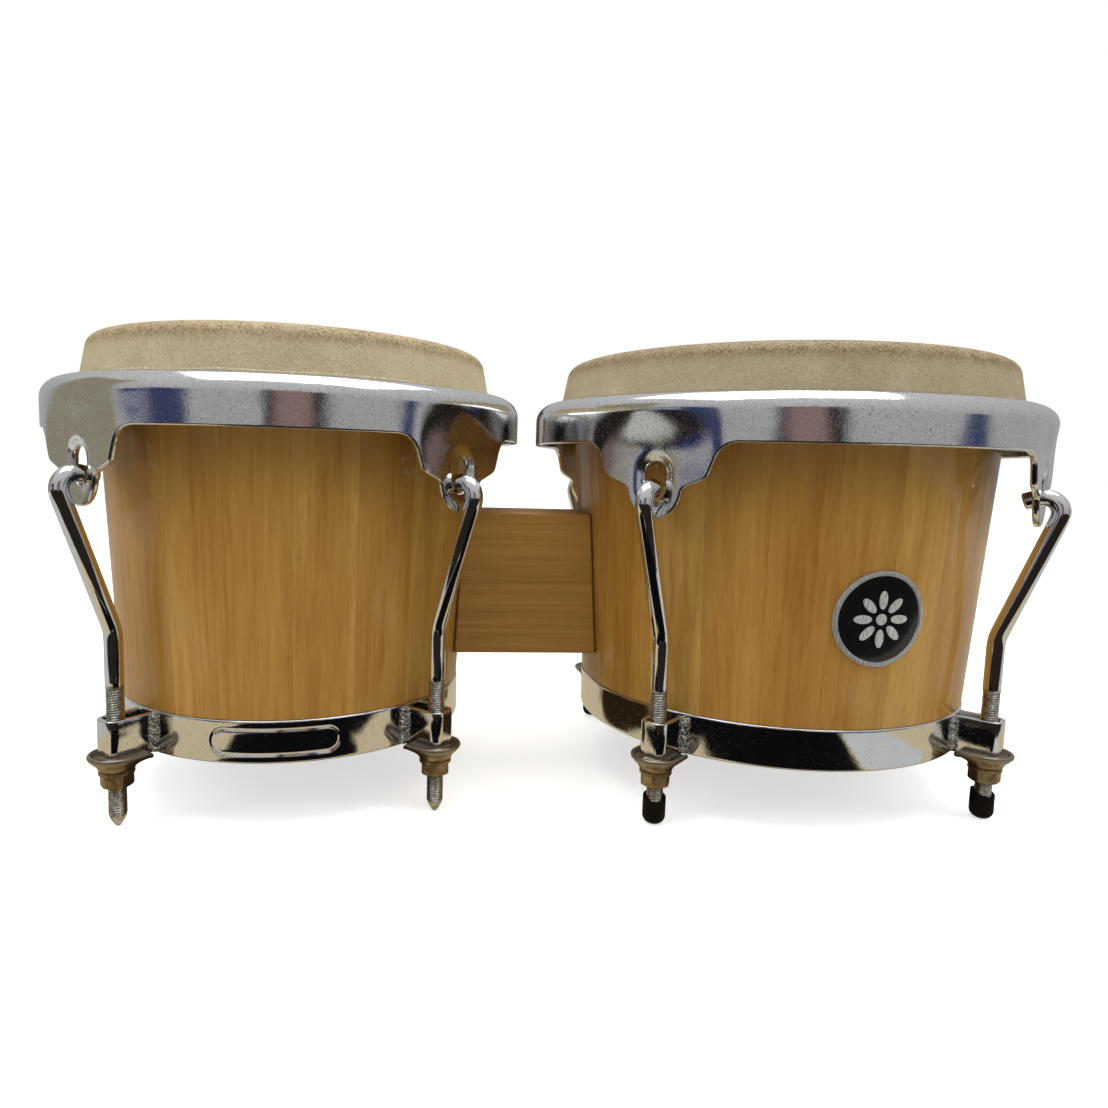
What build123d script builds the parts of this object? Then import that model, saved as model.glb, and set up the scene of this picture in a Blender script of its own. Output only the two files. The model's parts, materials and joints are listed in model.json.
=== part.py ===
from build123d import *
from math import cos, radians, sin, sqrt, tan
import os

os.makedirs("parts", exist_ok=True)

# A pair of bongo drums standing on the ends of their tuning hooks.
# +X runs from the small drum (macho) to the large one (hembra), -Y is the player's front, +Z is up.
# Z = 0 is the floor, and the origin is the middle of the pair's footprint. Millimetres and degrees.

# Heights above the floor
foot_z = 27.5               # lower edge of shells, rings and brackets
shell_top_z = 191.5         # bearing edge
ring_height = 17.0
hoop_top_z = 174.2
band_bottom_z = 154.6       # hoop band between its ears
ear_bottom_z = 125.2
slot_bottom_z = 133.0
slot_top_z = 147.2
hook_z = 137.3              # hook's centreline where it passes through the ear
knee_z = 77.5               # hook's lower bend
block_bottom_z = 58.2
block_top_z = 123.6

# Shells
wall = 9.5
glue_line = 0.1
edge_round = 4.0
inner_bevel = 3.0

# Rawhide heads
skin_thickness = 1.6
head_round = 6.0
collar_flare = 3.4          # how far the collar's foot stands out from the shell
collar_foot_z = 165.0

# Hoops
sheet = 2.5
shoulder_radius = 8.0
ear_set_in = 2.8            # the flattened face of an ear, in from the round band
slot_width = 9.2
flange_gap = 1.2
flesh_ring_radius = 3.0
flesh_ring_gap = 0.35
ear_half_width = 34.0       # where the band starts to flare down into an ear
ear_flare_middle = (27.5, 3.2)      # points of the flare: sideways from the ear's middle, below the band
ear_flare_end = (24.3, 8.0)
ear_shoulder_half_width = 21.0
ear_shoulder_drop = 13.5    # below the band
ear_neck_drop = 4.0         # below the shoulders
ear_neck_room = 2.2         # how far the neck's corner stands out from the lobe
ear_lobe_radius = 11.4
ear_corner = 4.0

# Rings, brackets and their seats
ring_thickness = 2.3
ring_edge = 0.6
lug_set_out = 11.8          # a hook's stem, out from the ring
strap = 2.0
bracket_width = 11.6
bracket_height = 16.0
bracket_corner = 4.0
bracket_room = 0.4          # space between the strap's end and the hook
seat_radius = 9.9
seat_rim_height = 1.6
seat_depth = 4.5
seat_foot_radius = 6.7
seat_rim = 1.7
seat_ring_gap = 0.6
seat_bore_room = 0.4

# Tuning hooks, nuts and end caps
rod_radius = 3.5
running_gap = 0.05
hook_droop = 20.0
hook_bend = 6.0
hook_apex_out = 10.3        # meeting point of stem and hook lines, out from the ear's face
hook_tip_in = 6.4          # hook's end, in from the ear's face
knee_bend = 16.0
bullet_length = 5.0
bullet_taper = 2.6
nut_across_flats = 11.0
nut_height = 6.6
nut_collar_radius = 6.6
nut_collar_height = 1.8
face_gap = 0.1
cap_radius = 4.7
cap_height = 13.5
cap_floor = 1.5
cap_round = 3.4

# Centre block and its fixings
block_half_depth = 20.0
block_edge = 1.5
bolt_radius = 3.0
bolt_room = 0.3
bolt_spread = 34.0
bolt_length = 24.0
bolt_head_flats = 10.0
bolt_head_height = 4.0
washer_radius = 8.0
washer_thickness = 1.6
insert_radius = 4.5
insert_length = 15.0
spot_face = 1.2             # depth of the flat that each washer bears on
spot_face_room = 0.5
insert_recess = 0.8         # insert's mouth, in from the shell's side
insert_relief = 3.0         # hole depth beyond the insert

# Badge and ring panel
badge_turn = 5.0
badge_z = 89.4
badge_radius = 19.0
badge_rim_width = 2.0
badge_rim_thickness = 1.4
badge_disc_thickness = 0.9
emblem_thickness = 0.35
emblem_dot = 2.2
petal_circle = 7.6
petal_length = 3.6
petal_width = 1.7
petals = 8
panel_turn = 4.0
panel_length = 50.0
panel_height = 10.5
panel_line = 0.9
panel_depth = 0.35

fit_gap = 0.05              # between glued or seated pieces
overrun = 1.0               # how far a cut runs past what it cuts


class Drum:
    """One drum's driving sizes, and the places that follow from them."""

    def __init__(self, name, x, shell_top, shell_foot, ring, hoop, staves, lug_turn, block_side):
        self.name = name
        self.x = x
        self.shell_top = shell_top
        self.shell_foot = shell_foot
        self.ring = ring
        self.hoop = hoop
        self.staves = staves
        self.block_side = block_side
        self.lug = ring + lug_set_out
        self.ear_face = hoop - ear_set_in
        self.collar = shell_top + fit_gap + skin_thickness + collar_flare
        self.lug_angles = [lug_turn + 45 + 90 * quarter for quarter in range(4)]

    def shell_radius(self, z):
        """Outside radius of the tapered shell at a height."""
        share = (z - foot_z - ring_height) / (shell_top_z - foot_z - ring_height)
        return self.shell_foot + (self.shell_top - self.shell_foot) * share

    def axis(self):
        return Axis((self.x, 0, 0), (0, 0, 1))

    def floor_plane(self):
        return Plane(origin=(self.x, 0, 0))

    def upright_plane(self, angle):
        """Plane through the drum's axis: local x points outwards at the angle, local y points up."""
        outward = Vector(cos(radians(angle)), sin(radians(angle)), 0)
        return Plane(origin=(self.x, 0, 0), x_dir=outward, z_dir=outward.cross(Vector(0, 0, 1)))

    def facing_plane(self, angle, radius, z=0.0):
        """Upright plane square to a radius: local x runs sideways, local y up, its normal outwards."""
        outward = Vector(cos(radians(angle)), sin(radians(angle)), 0)
        origin = Vector(self.x, 0, z) + outward * radius
        return Plane(origin=origin, x_dir=Vector(0, 0, 1).cross(outward), z_dir=outward)

    def lug_place(self, angle, z):
        """Centre of a tuning hook's stem at a height, local x pointing outwards."""
        outward = Vector(cos(radians(angle)), sin(radians(angle)), 0)
        origin = Vector(self.x, 0, z) + outward * self.lug
        return Plane(origin=origin, x_dir=outward, z_dir=(0, 0, 1))


macho = Drum("macho", -121.2, 83.0, 75.2, 75.6, 101.8, 20, 4.5, 1)
hembra = Drum("hembra", 106.8, 99.0, 89.2, 89.6, 116.2, 24, 0.0, -1)
drums = [macho, hembra]
lug_names = ["back_right", "back_left", "front_left", "front_right"]
bolt_heights = [(block_bottom_z + block_top_z + side * bolt_spread) / 2 for side in (-1, 1)]


def save(part, label):
    part.label = label
    export_step(part, f"parts/{label}.step")


def shell_wall_radius(drum, z):
    """Inside radius of the shell at a height."""
    return drum.shell_radius(z) - wall


def bolt_plane(drum, distance, z):
    """Plane square to a block bolt, a distance from the drum's axis, its normal towards the block."""
    origin = (drum.x + drum.block_side * distance, 0, z)
    return Plane(origin=origin, x_dir=(0, 1, 0), z_dir=(drum.block_side, 0, 0))


def washer_seat(drum, z):
    """Distance from the drum's axis to the flat that a block bolt's washer bears on."""
    return shell_wall_radius(drum, z) + spot_face


def make_staves(drum):
    """Tapered shell of glued staves, rebated at its foot for the ring."""
    ring_seat = drum.ring - ring_thickness - fit_gap
    shoulder_z = foot_z + ring_height
    with BuildPart(drum.floor_plane()) as staves:
        with BuildSketch(drum.upright_plane(0)) as section:
            with BuildLine():
                Polyline(
                    (shell_wall_radius(drum, foot_z), foot_z),
                    (ring_seat, foot_z),
                    (ring_seat, shoulder_z),
                    (drum.shell_radius(shoulder_z), shoulder_z),
                    (drum.shell_top, shell_top_z),
                    (shell_wall_radius(drum, shell_top_z), shell_top_z),
                    close=True,
                )
            make_face()
            top_corners = section.vertices().group_by(Axis.Z)[-1].sort_by(Axis.X)
            fillet(top_corners[-1], edge_round)
            chamfer(section.vertices().group_by(Axis.Z)[-1].sort_by(Axis.X)[0], inner_bevel)
        revolve(axis=drum.axis())
        with PolarLocations(0, drum.staves, start_angle=180 / drum.staves):
            Box(
                drum.shell_top + overrun,
                glue_line,
                shell_top_z + overrun,
                align=(Align.MIN, Align.CENTER, Align.MIN),
                mode=Mode.SUBTRACT,
            )
        for z in bolt_heights:
            with BuildSketch(bolt_plane(drum, 0, z)):
                Circle(bolt_radius + bolt_room)
            extrude(amount=drum.shell_top, mode=Mode.SUBTRACT)
            with BuildSketch(bolt_plane(drum, 0, z)):
                Circle(washer_radius + spot_face_room)
            extrude(amount=washer_seat(drum, z), mode=Mode.SUBTRACT)
    return staves.part


def make_head(drum):
    """Rawhide head: a flat membrane with a rounded edge and a collar that flares down into the hoop."""
    inside = drum.shell_top + fit_gap
    outside = inside + skin_thickness
    head_top_z = shell_top_z + skin_thickness
    with BuildPart() as head:
        with BuildSketch(drum.upright_plane(0)) as section:
            with BuildLine():
                Polyline(
                    (0, shell_top_z),
                    (0, head_top_z),
                    (outside, head_top_z),
                    (drum.collar, hoop_top_z),
                    (drum.collar, collar_foot_z),
                    (drum.collar - skin_thickness, collar_foot_z),
                    (drum.collar - skin_thickness, hoop_top_z),
                    (inside, shell_top_z),
                    close=True,
                )
            make_face()
            fillet(section.vertices().sort_by_distance((outside, head_top_z)).first, head_round)
            inner_corner = section.vertices().sort_by_distance((inside, shell_top_z)).first
            fillet(inner_corner, head_round - skin_thickness)
        revolve(axis=drum.axis())
    return head.part


def make_flesh_ring(drum):
    """Steel ring that the hide is lapped around, under the hoop's flange."""
    centre_radius = drum.collar + flesh_ring_gap + flesh_ring_radius
    centre_z = hoop_top_z - sheet - flesh_ring_radius
    with BuildPart() as ring:
        with BuildSketch(drum.upright_plane(0)):
            with Locations((centre_radius, centre_z)):
                Circle(flesh_ring_radius)
        revolve(axis=drum.axis())
    return ring.part


def ear_outlines(drum):
    """The parts of a hoop's skirt that stay below its band: four ears."""
    shoulder_z = band_bottom_z - ear_shoulder_drop
    neck_z = shoulder_z - ear_neck_drop
    neck_half_width = ear_lobe_radius + ear_neck_room
    lobe_z = ear_bottom_z + ear_lobe_radius
    above_z = band_bottom_z + overrun
    with BuildPart() as ears:
        for angle in drum.lug_angles:
            with BuildSketch(drum.facing_plane(angle, 0)) as outline:
                with BuildLine():
                    flare = ThreePointArc(
                        (ear_half_width, band_bottom_z),
                        (ear_flare_middle[0], band_bottom_z - ear_flare_middle[1]),
                        (ear_flare_end[0], band_bottom_z - ear_flare_end[1]),
                    )
                    Polyline(
                        flare @ 1,
                        (ear_shoulder_half_width, shoulder_z),
                        (neck_half_width, neck_z),
                        (0, neck_z),
                    )
                    Polyline(flare @ 0, (ear_half_width, above_z), (0, above_z))
                    mirror(about=Plane.YZ)
                make_face()
                corners = outline.vertices().filter_by(lambda v: abs(v.Y - shoulder_z) < fit_gap)
                fillet(corners, ear_corner)
                with Locations((0, lobe_z)):
                    Circle(ear_lobe_radius)
                with Locations((0, (lobe_z + shoulder_z) / 2)):
                    Rectangle(2 * ear_lobe_radius, shoulder_z - lobe_z)
            extrude(amount=drum.hoop + overrun)
    return ears.part


def make_hoop(drum):
    """Pressed hoop: a band with a rounded shoulder and flange, flattened at four slotted ears."""
    flat_half_width = sqrt(drum.hoop**2 - drum.ear_face**2)
    flange = drum.collar + flange_gap
    ears = ear_outlines(drum)
    with BuildPart() as below:
        with BuildSketch(drum.floor_plane()):
            Circle(drum.hoop + overrun)
        extrude(amount=band_bottom_z)
        add(ears, mode=Mode.SUBTRACT)
    with BuildPart() as hoop:
        with BuildSketch(drum.upright_plane(0)) as section:
            with BuildLine():
                Polyline(
                    (drum.hoop - sheet, ear_bottom_z),
                    (drum.hoop, ear_bottom_z),
                    (drum.hoop, hoop_top_z),
                    (flange, hoop_top_z),
                    (flange, hoop_top_z - sheet),
                    (drum.hoop - sheet, hoop_top_z - sheet),
                    close=True,
                )
            make_face()
            fillet(section.vertices().sort_by_distance((drum.hoop, hoop_top_z)).first, shoulder_radius)
            inner_corner = (drum.hoop - sheet, hoop_top_z - sheet)
            fillet(section.vertices().sort_by_distance(inner_corner).first, shoulder_radius - sheet)
        revolve(axis=drum.axis())
        facet_top_z = hoop_top_z - sheet
        for angle in drum.lug_angles:
            face = drum.facing_plane(angle, drum.ear_face)
            with BuildSketch(face):
                with Locations((0, (ear_bottom_z + facet_top_z) / 2)):
                    Rectangle(2 * flat_half_width - overrun, facet_top_z - ear_bottom_z)
            extrude(amount=-sheet)
            with BuildSketch(face):
                with Locations((0, (ear_bottom_z + hoop_top_z) / 2)):
                    Rectangle(2 * (flat_half_width + overrun), hoop_top_z - ear_bottom_z + 2 * overrun)
            extrude(amount=2 * ear_set_in, mode=Mode.SUBTRACT)
            with BuildSketch(face):
                with Locations((0, (slot_bottom_z + slot_top_z) / 2)):
                    SlotOverall(slot_top_z - slot_bottom_z, slot_width, rotation=90)
            extrude(amount=-3 * sheet, mode=Mode.SUBTRACT)
        add(below.part, mode=Mode.SUBTRACT)
    return hoop.part


def stadium_line(drum, angle):
    """A stadium outline wrapped around a drum's ring, as deep as its pressed line."""
    with BuildPart() as line:
        with BuildSketch(drum.upright_plane(0)):
            with Locations((drum.ring, foot_z + ring_height / 2)):
                Rectangle(2 * panel_depth, ring_height)
        revolve(axis=drum.axis())
        with BuildSketch(drum.facing_plane(angle, 0, foot_z + ring_height / 2)):
            SlotOverall(panel_length, panel_height)
            SlotOverall(panel_length - 2 * panel_line, panel_height - 2 * panel_line, mode=Mode.SUBTRACT)
        extrude(amount=drum.ring + overrun, mode=Mode.INTERSECT)
    return line.part


def make_ring(drum):
    """Flat steel band around the shell's foot. The small drum's has a pressed stadium outline."""
    with BuildPart() as ring:
        with BuildSketch(drum.upright_plane(0)) as section:
            with Locations((drum.ring, foot_z)):
                Rectangle(ring_thickness, ring_height, align=(Align.MAX, Align.MIN))
            fillet(section.vertices(), ring_edge)
        revolve(axis=drum.axis())
        if drum is macho:
            add(stadium_line(drum, panel_turn - 90), mode=Mode.SUBTRACT)
    return ring.part


def make_brackets(drum):
    """Strap loops welded to the ring, one around each tuning hook."""
    outer_end = rod_radius + bracket_room + strap
    reach = lug_set_out + outer_end + overrun
    with BuildPart() as brackets:
        for angle in drum.lug_angles:
            with BuildSketch(drum.lug_place(angle, foot_z)) as plan:
                with Locations((outer_end, 0)):
                    Rectangle(reach, bracket_width, align=(Align.MAX, Align.CENTER))
                fillet(plan.vertices().group_by(Axis.X)[-1], bracket_corner)
                with BuildSketch(mode=Mode.SUBTRACT) as inside:
                    with Locations((outer_end - strap, 0)):
                        Rectangle(reach, bracket_width - 2 * strap, align=(Align.MAX, Align.CENTER))
                    fillet(inside.vertices().group_by(Axis.X)[-1], bracket_corner - strap)
            extrude(amount=bracket_height)
        with BuildSketch(drum.floor_plane()):
            Circle(drum.ring + fit_gap)
        extrude(amount=shell_top_z, mode=Mode.SUBTRACT)
    return brackets.part


def seat_outline(inset, mode=Mode.ADD):
    """Plan of a hook seat: round outside, square towards the ring."""
    reach = lug_set_out - seat_ring_gap
    Circle(seat_radius - inset, mode=mode)
    Rectangle(reach, 2 * (seat_radius - inset), align=(Align.MAX, Align.CENTER), mode=mode)


def make_seats(drum):
    """Dished seats that a bracket's lower edge stands in, tapering down to the nut."""
    with BuildPart() as seats:
        for angle in drum.lug_angles:
            foot = drum.lug_place(angle, foot_z - seat_depth)
            brim = drum.lug_place(angle, foot_z - fit_gap)
            with BuildSketch(foot):
                Circle(seat_foot_radius)
            with BuildSketch(brim):
                seat_outline(0)
            loft()
            with BuildSketch(brim):
                seat_outline(0)
                seat_outline(seat_rim, Mode.SUBTRACT)
            extrude(amount=seat_rim_height)
            with BuildSketch(foot):
                Circle(rod_radius + seat_bore_room)
            extrude(amount=seat_depth + seat_rim_height, mode=Mode.SUBTRACT)
    return seats.part


def make_hooks(drum, end_z, pointed):
    """Bent tuning hooks. A stem stands in each bracket, and its hooked end drops through an ear's slot."""
    droop = tan(radians(hook_droop))
    ear_middle = drum.ear_face - sheet / 2
    apex = drum.ear_face + hook_apex_out
    tip = drum.ear_face - hook_tip_in
    with BuildPart() as hooks:
        for angle in drum.lug_angles:
            with BuildLine(drum.upright_plane(angle)) as route:
                FilletPolyline(
                    (drum.lug, end_z),
                    (drum.lug, knee_z),
                    (apex, hook_z + (apex - ear_middle) * droop),
                    (tip, hook_z + (tip - ear_middle) * droop),
                    radius=(knee_bend, hook_bend),
                )
            with BuildSketch(drum.lug_place(angle, end_z)):
                Circle(rod_radius)
            sweep(path=route.wires()[0])
            if pointed:
                with BuildSketch(drum.lug_place(angle, end_z)):
                    Circle(rod_radius)
                with BuildSketch(drum.lug_place(angle, 0)):
                    Circle(rod_radius - bullet_taper)
                loft()
    return hooks.part


def make_caps(drum):
    """Rubber caps on the hooks' threaded ends."""
    with BuildPart() as caps:
        for angle in drum.lug_angles:
            with BuildSketch(drum.lug_place(angle, 0)):
                Circle(cap_radius)
            extrude(amount=cap_height)
            with BuildSketch(drum.lug_place(angle, cap_floor)):
                Circle(rod_radius + fit_gap)
            extrude(amount=cap_height, mode=Mode.SUBTRACT)
        fillet(caps.edges().group_by(Axis.Z)[0], cap_round)
    return caps.part


def make_nut(drum, angle):
    """Hexagon nut with a round collar, on a hook's thread under its seat."""
    top = drum.lug_place(angle, foot_z - seat_depth - face_gap)
    with BuildPart() as nut:
        with BuildSketch(top):
            RegularPolygon(nut_across_flats / 2, 6, major_radius=False)
        extrude(amount=-nut_height)
        with BuildSketch(top):
            Circle(nut_collar_radius)
        extrude(amount=-nut_collar_height)
        with BuildSketch(top):
            Circle(rod_radius + running_gap)
        extrude(amount=-nut_height, mode=Mode.SUBTRACT)
    return nut.part


def make_block():
    """Hardwood block between the drums, its ends hollowed to the tapered shells."""
    with BuildPart() as block:
        with BuildSketch(Plane.XY.offset(block_bottom_z)):
            with Locations(((macho.x + hembra.x) / 2, 0)):
                Rectangle(hembra.x - macho.x - macho.shell_foot, 2 * block_half_depth)
        extrude(amount=block_top_z - block_bottom_z)
        fillet(block.edges().filter_by(Axis.X), block_edge)
        for drum in drums:
            with BuildSketch(drum.upright_plane(0)):
                with BuildLine():
                    Polyline(
                        (0, foot_z),
                        (drum.shell_radius(foot_z) + fit_gap, foot_z),
                        (drum.shell_radius(shell_top_z) + fit_gap, shell_top_z),
                        (0, shell_top_z),
                        close=True,
                    )
                make_face()
            revolve(axis=drum.axis(), mode=Mode.SUBTRACT)
            for z in bolt_heights:
                with BuildSketch(bolt_plane(drum, shell_wall_radius(drum, z), z)):
                    Circle(insert_radius + fit_gap)
                extrude(amount=wall + insert_length + insert_relief, mode=Mode.SUBTRACT)
    return block.part


def make_block_bolts():
    """Hexagon bolts from inside the shells into the block."""
    with BuildPart() as bolts:
        for drum in drums:
            for z in bolt_heights:
                head = bolt_plane(drum, washer_seat(drum, z) - washer_thickness - 2 * fit_gap, z)
                with BuildSketch(head):
                    RegularPolygon(bolt_head_flats / 2, 6, major_radius=False)
                extrude(amount=-bolt_head_height)
                with BuildSketch(head):
                    Circle(bolt_radius)
                extrude(amount=bolt_length)
    return bolts.part


def make_block_washers():
    with BuildPart() as washers:
        for drum in drums:
            for z in bolt_heights:
                with BuildSketch(bolt_plane(drum, washer_seat(drum, z) - fit_gap, z)):
                    Circle(washer_radius)
                    Circle(bolt_radius + bolt_room, mode=Mode.SUBTRACT)
                extrude(amount=-washer_thickness)
    return washers.part


def make_block_inserts():
    """Threaded inserts in the block's ends, one for each bolt."""
    with BuildPart() as inserts:
        for drum in drums:
            for z in bolt_heights:
                with BuildSketch(bolt_plane(drum, drum.shell_radius(z) + insert_recess, z)):
                    Circle(insert_radius)
                    Circle(bolt_radius + running_gap, mode=Mode.SUBTRACT)
                extrude(amount=insert_length)
    return inserts.part


def badge_layer(inside, outside):
    """A thin layer over the large drum's shell, between two distances from its surface."""
    bottom_z = badge_z - badge_radius - overrun
    top_z = badge_z + badge_radius + overrun
    with BuildPart() as layer:
        with BuildSketch(hembra.upright_plane(0)):
            with BuildLine():
                Polyline(
                    (hembra.shell_radius(bottom_z) + inside, bottom_z),
                    (hembra.shell_radius(bottom_z) + outside, bottom_z),
                    (hembra.shell_radius(top_z) + outside, top_z),
                    (hembra.shell_radius(top_z) + inside, top_z),
                    close=True,
                )
            make_face()
        revolve(axis=hembra.axis())
    return layer.part


def make_badge_rim():
    layer = badge_layer(fit_gap, badge_rim_thickness)
    with BuildPart() as rim:
        add(layer)
        with BuildSketch(hembra.facing_plane(badge_turn - 90, 0, badge_z)):
            Circle(badge_radius)
            Circle(badge_radius - badge_rim_width, mode=Mode.SUBTRACT)
        extrude(amount=hembra.hoop, mode=Mode.INTERSECT)
    return rim.part


def make_badge_disc():
    layer = badge_layer(fit_gap, badge_disc_thickness)
    with BuildPart() as disc:
        add(layer)
        with BuildSketch(hembra.facing_plane(badge_turn - 90, 0, badge_z)):
            Circle(badge_radius - badge_rim_width - fit_gap)
        extrude(amount=hembra.hoop, mode=Mode.INTERSECT)
    return disc.part


def make_badge_emblem():
    """A plain rosette of eight petals around a dot."""
    layer = badge_layer(badge_disc_thickness + fit_gap, badge_disc_thickness + emblem_thickness)
    with BuildPart() as emblem:
        add(layer)
        with BuildSketch(hembra.facing_plane(badge_turn - 90, 0, badge_z)):
            Circle(emblem_dot)
            with PolarLocations(petal_circle, petals):
                Ellipse(petal_length, petal_width)
        extrude(amount=hembra.hoop, mode=Mode.INTERSECT)
    return emblem.part


for drum in drums:
    save(make_staves(drum), f"{drum.name}_staves")
    save(make_head(drum), f"{drum.name}_head")
    save(make_flesh_ring(drum), f"{drum.name}_flesh_ring")
    save(make_hoop(drum), f"{drum.name}_hoop")
    save(make_ring(drum), f"{drum.name}_foot_ring")
    save(make_brackets(drum), f"{drum.name}_hook_brackets")
    save(make_seats(drum), f"{drum.name}_hook_seats")
    for lug_name, angle in zip(lug_names, drum.lug_angles):
        save(make_nut(drum, angle), f"{drum.name}_nut_{lug_name}")

save(make_hooks(macho, bullet_length, pointed=True), "macho_hooks")
save(make_hooks(hembra, cap_floor + fit_gap, pointed=False), "hembra_hooks")
save(make_caps(hembra), "hembra_hook_caps")
save(make_block(), "centre_block")
save(make_block_bolts(), "block_bolts")
save(make_block_washers(), "block_washers")
save(make_block_inserts(), "block_inserts")
save(make_badge_rim(), "badge_rim")
save(make_badge_disc(), "badge_disc")
save(make_badge_emblem(), "badge_emblem")
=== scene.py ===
import json
import math

import bmesh
import bpy
import numpy as np
from mathutils import Matrix, Vector
from mathutils.geometry import delaunay_2d_cdt


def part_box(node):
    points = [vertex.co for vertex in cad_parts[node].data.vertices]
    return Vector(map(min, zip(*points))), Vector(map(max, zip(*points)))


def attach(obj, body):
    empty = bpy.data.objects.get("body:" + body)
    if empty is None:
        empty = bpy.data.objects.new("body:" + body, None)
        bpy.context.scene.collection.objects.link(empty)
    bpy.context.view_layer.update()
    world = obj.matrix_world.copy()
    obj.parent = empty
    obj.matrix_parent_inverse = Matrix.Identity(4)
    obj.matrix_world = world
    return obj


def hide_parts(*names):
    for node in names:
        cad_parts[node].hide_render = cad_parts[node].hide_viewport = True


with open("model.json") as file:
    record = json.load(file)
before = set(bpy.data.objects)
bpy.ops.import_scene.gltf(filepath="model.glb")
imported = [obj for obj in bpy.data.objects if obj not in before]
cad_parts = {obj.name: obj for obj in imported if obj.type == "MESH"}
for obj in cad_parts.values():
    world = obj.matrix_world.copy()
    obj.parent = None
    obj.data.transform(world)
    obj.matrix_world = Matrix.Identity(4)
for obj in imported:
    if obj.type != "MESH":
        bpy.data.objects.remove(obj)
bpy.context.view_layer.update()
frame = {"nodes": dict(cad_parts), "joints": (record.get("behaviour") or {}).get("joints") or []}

# A pair of bongo drums. Meshes are worked out in millimetres in the row frame and made in metres.
MM = 0.001
TAU = 2 * math.pi
UP = np.array((0.0, 0.0, 1.0))

# Sizes shared with the CAD model, in millimetres
WALL = 9.5
SKIN = 1.6
HEAD_ROUND = 6.0
FLESH_RING = 3.0            # radius of the steel ring's own section
FLESH_RING_GAP = 0.35
SHEET = 2.5
SHOULDER = 8.0
EAR_SET_IN = 2.8
FLANGE_GAP = 1.2
BAND_BOTTOM_Z = 154.6
SLOT_BOTTOM_Z = 133.0
SLOT_TOP_Z = 147.2
SLOT_WIDTH = 9.2
LOBE_RADIUS = 11.4
RING_THICKNESS = 2.3
ROD = 3.5
HOOK_Z = 137.3
HOOK_DROOP = math.radians(20.0)
HOOK_APEX_OUT = 10.3
HOOK_TIP_IN = 6.4
HOOK_BEND = 6.0
KNEE_Z = 77.5
KNEE_BEND = 16.0
THREAD_TOP_Z = 56.5
STRAP = 2.0
BRACKET_HALF_WIDTH = 5.8
BRACKET_CORNER = 4.0
BRACKET_ROOM = 0.4
SEAT_RADIUS = 9.9
SEAT_REACH = 11.2
BADGE_TURN = math.radians(-85.0)
BADGE_RADIUS = 19.0
PANEL_TURN = math.radians(-86.0)
PANEL_WIDTH = 50.0
PANEL_HEIGHT = 10.5
PANEL_LINE = 0.45           # half the width of the panel's pressed outline
PANEL_MARGIN = 3.0

LUGS = ["back_right", "back_left", "front_left", "front_right"]


def box_mm(node):
    low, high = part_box(node)
    return np.array(low) / MM, np.array(high) / MM


def pairs(x, y):
    """2-D points from their coordinates, either of which may be one value for all."""
    return np.stack(np.broadcast_arrays(x, y), -1)


def around(radius, angle, z):
    """Points around the origin at a radius, angle and height."""
    return np.stack(np.broadcast_arrays(radius * np.cos(angle), radius * np.sin(angle), z), -1)


def tangents(line):
    """Unit vectors along a line of points."""
    along = np.gradient(line, axis=0)
    return along / np.linalg.norm(along, axis=1)[:, None]


def turned_right(vectors):
    return pairs(vectors[:, 1], -vectors[:, 0])


def joint(name):
    return next(j for j in frame["joints"] if j["name"] == name)


class Drum:
    """Where one drum's parts are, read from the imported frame."""

    def __init__(self, name, staves, first_glue_line, shell_foot, block_side):
        self.name = name
        self.staves = staves
        self.first_glue_line = math.radians(first_glue_line)
        self.shell_foot = shell_foot
        self.block_side = block_side
        self.hoop_set = f"{name}_hoop_set"
        stems = [np.array(joint(f"{name}_nut_{lug}_turn")["pos_m"]) / MM for lug in LUGS]
        self.x = float(np.mean([s[0] for s in stems]))
        self.lug = float(np.mean([math.hypot(s[0] - self.x, s[1]) for s in stems]))
        self.angles = [math.atan2(s[1], s[0] - self.x) for s in stems]
        low, high = self.box("staves")
        self.foot_z, self.top_z = low[2], high[2]
        self.shell_top = (high[0] - low[0]) / 2
        low, high = self.box("head")
        self.head_top_z, self.collar_foot_z = high[2], low[2]
        self.collar = (high[0] - low[0]) / 2
        low, high = self.box("hoop")
        self.hoop_top_z, self.ear_bottom_z = high[2], low[2]
        self.hoop = (high[0] - low[0]) / 2
        self.ear_face = self.hoop - EAR_SET_IN
        low, high = self.box("foot_ring")
        self.ring_bottom_z, self.ring_top_z = low[2], high[2]
        self.ring = (high[0] - low[0]) / 2

    def box(self, part):
        return box_mm(f"{self.name}_{part}")

    def shell_radius(self, z):
        share = (z - self.ring_top_z) / (self.top_z - self.ring_top_z)
        return self.shell_foot + (self.shell_top - self.shell_foot) * share

    def outward(self, angle):
        return np.array((math.cos(angle), math.sin(angle), 0.0))

    def place(self, radius, angle, z):
        """Points at a radius, angle and height around the drum's axis; any of them may be an array."""
        radius, angle, z = np.broadcast_arrays(radius, angle, z)
        return np.stack((self.x + radius * np.cos(angle), radius * np.sin(angle), z), -1)

    def beside_stem(self, angle, outwards, sideways, z):
        """Points around a hook's stem, set out from it away from the drum's axis and sideways."""
        outwards, sideways, z = (values[..., None] for values in np.broadcast_arrays(outwards, sideways, z))
        stem = self.place(self.lug, angle, 0.0)
        return stem + outwards * self.outward(angle) + sideways * self.outward(angle + math.pi / 2) + z * UP


macho = Drum("macho", 20, 9.0, 75.2, 1)
hembra = Drum("hembra", 24, 7.5, 89.2, -1)
DRUMS = [macho, hembra]


# ---------------------------------------------------------------- mesh helpers

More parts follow.
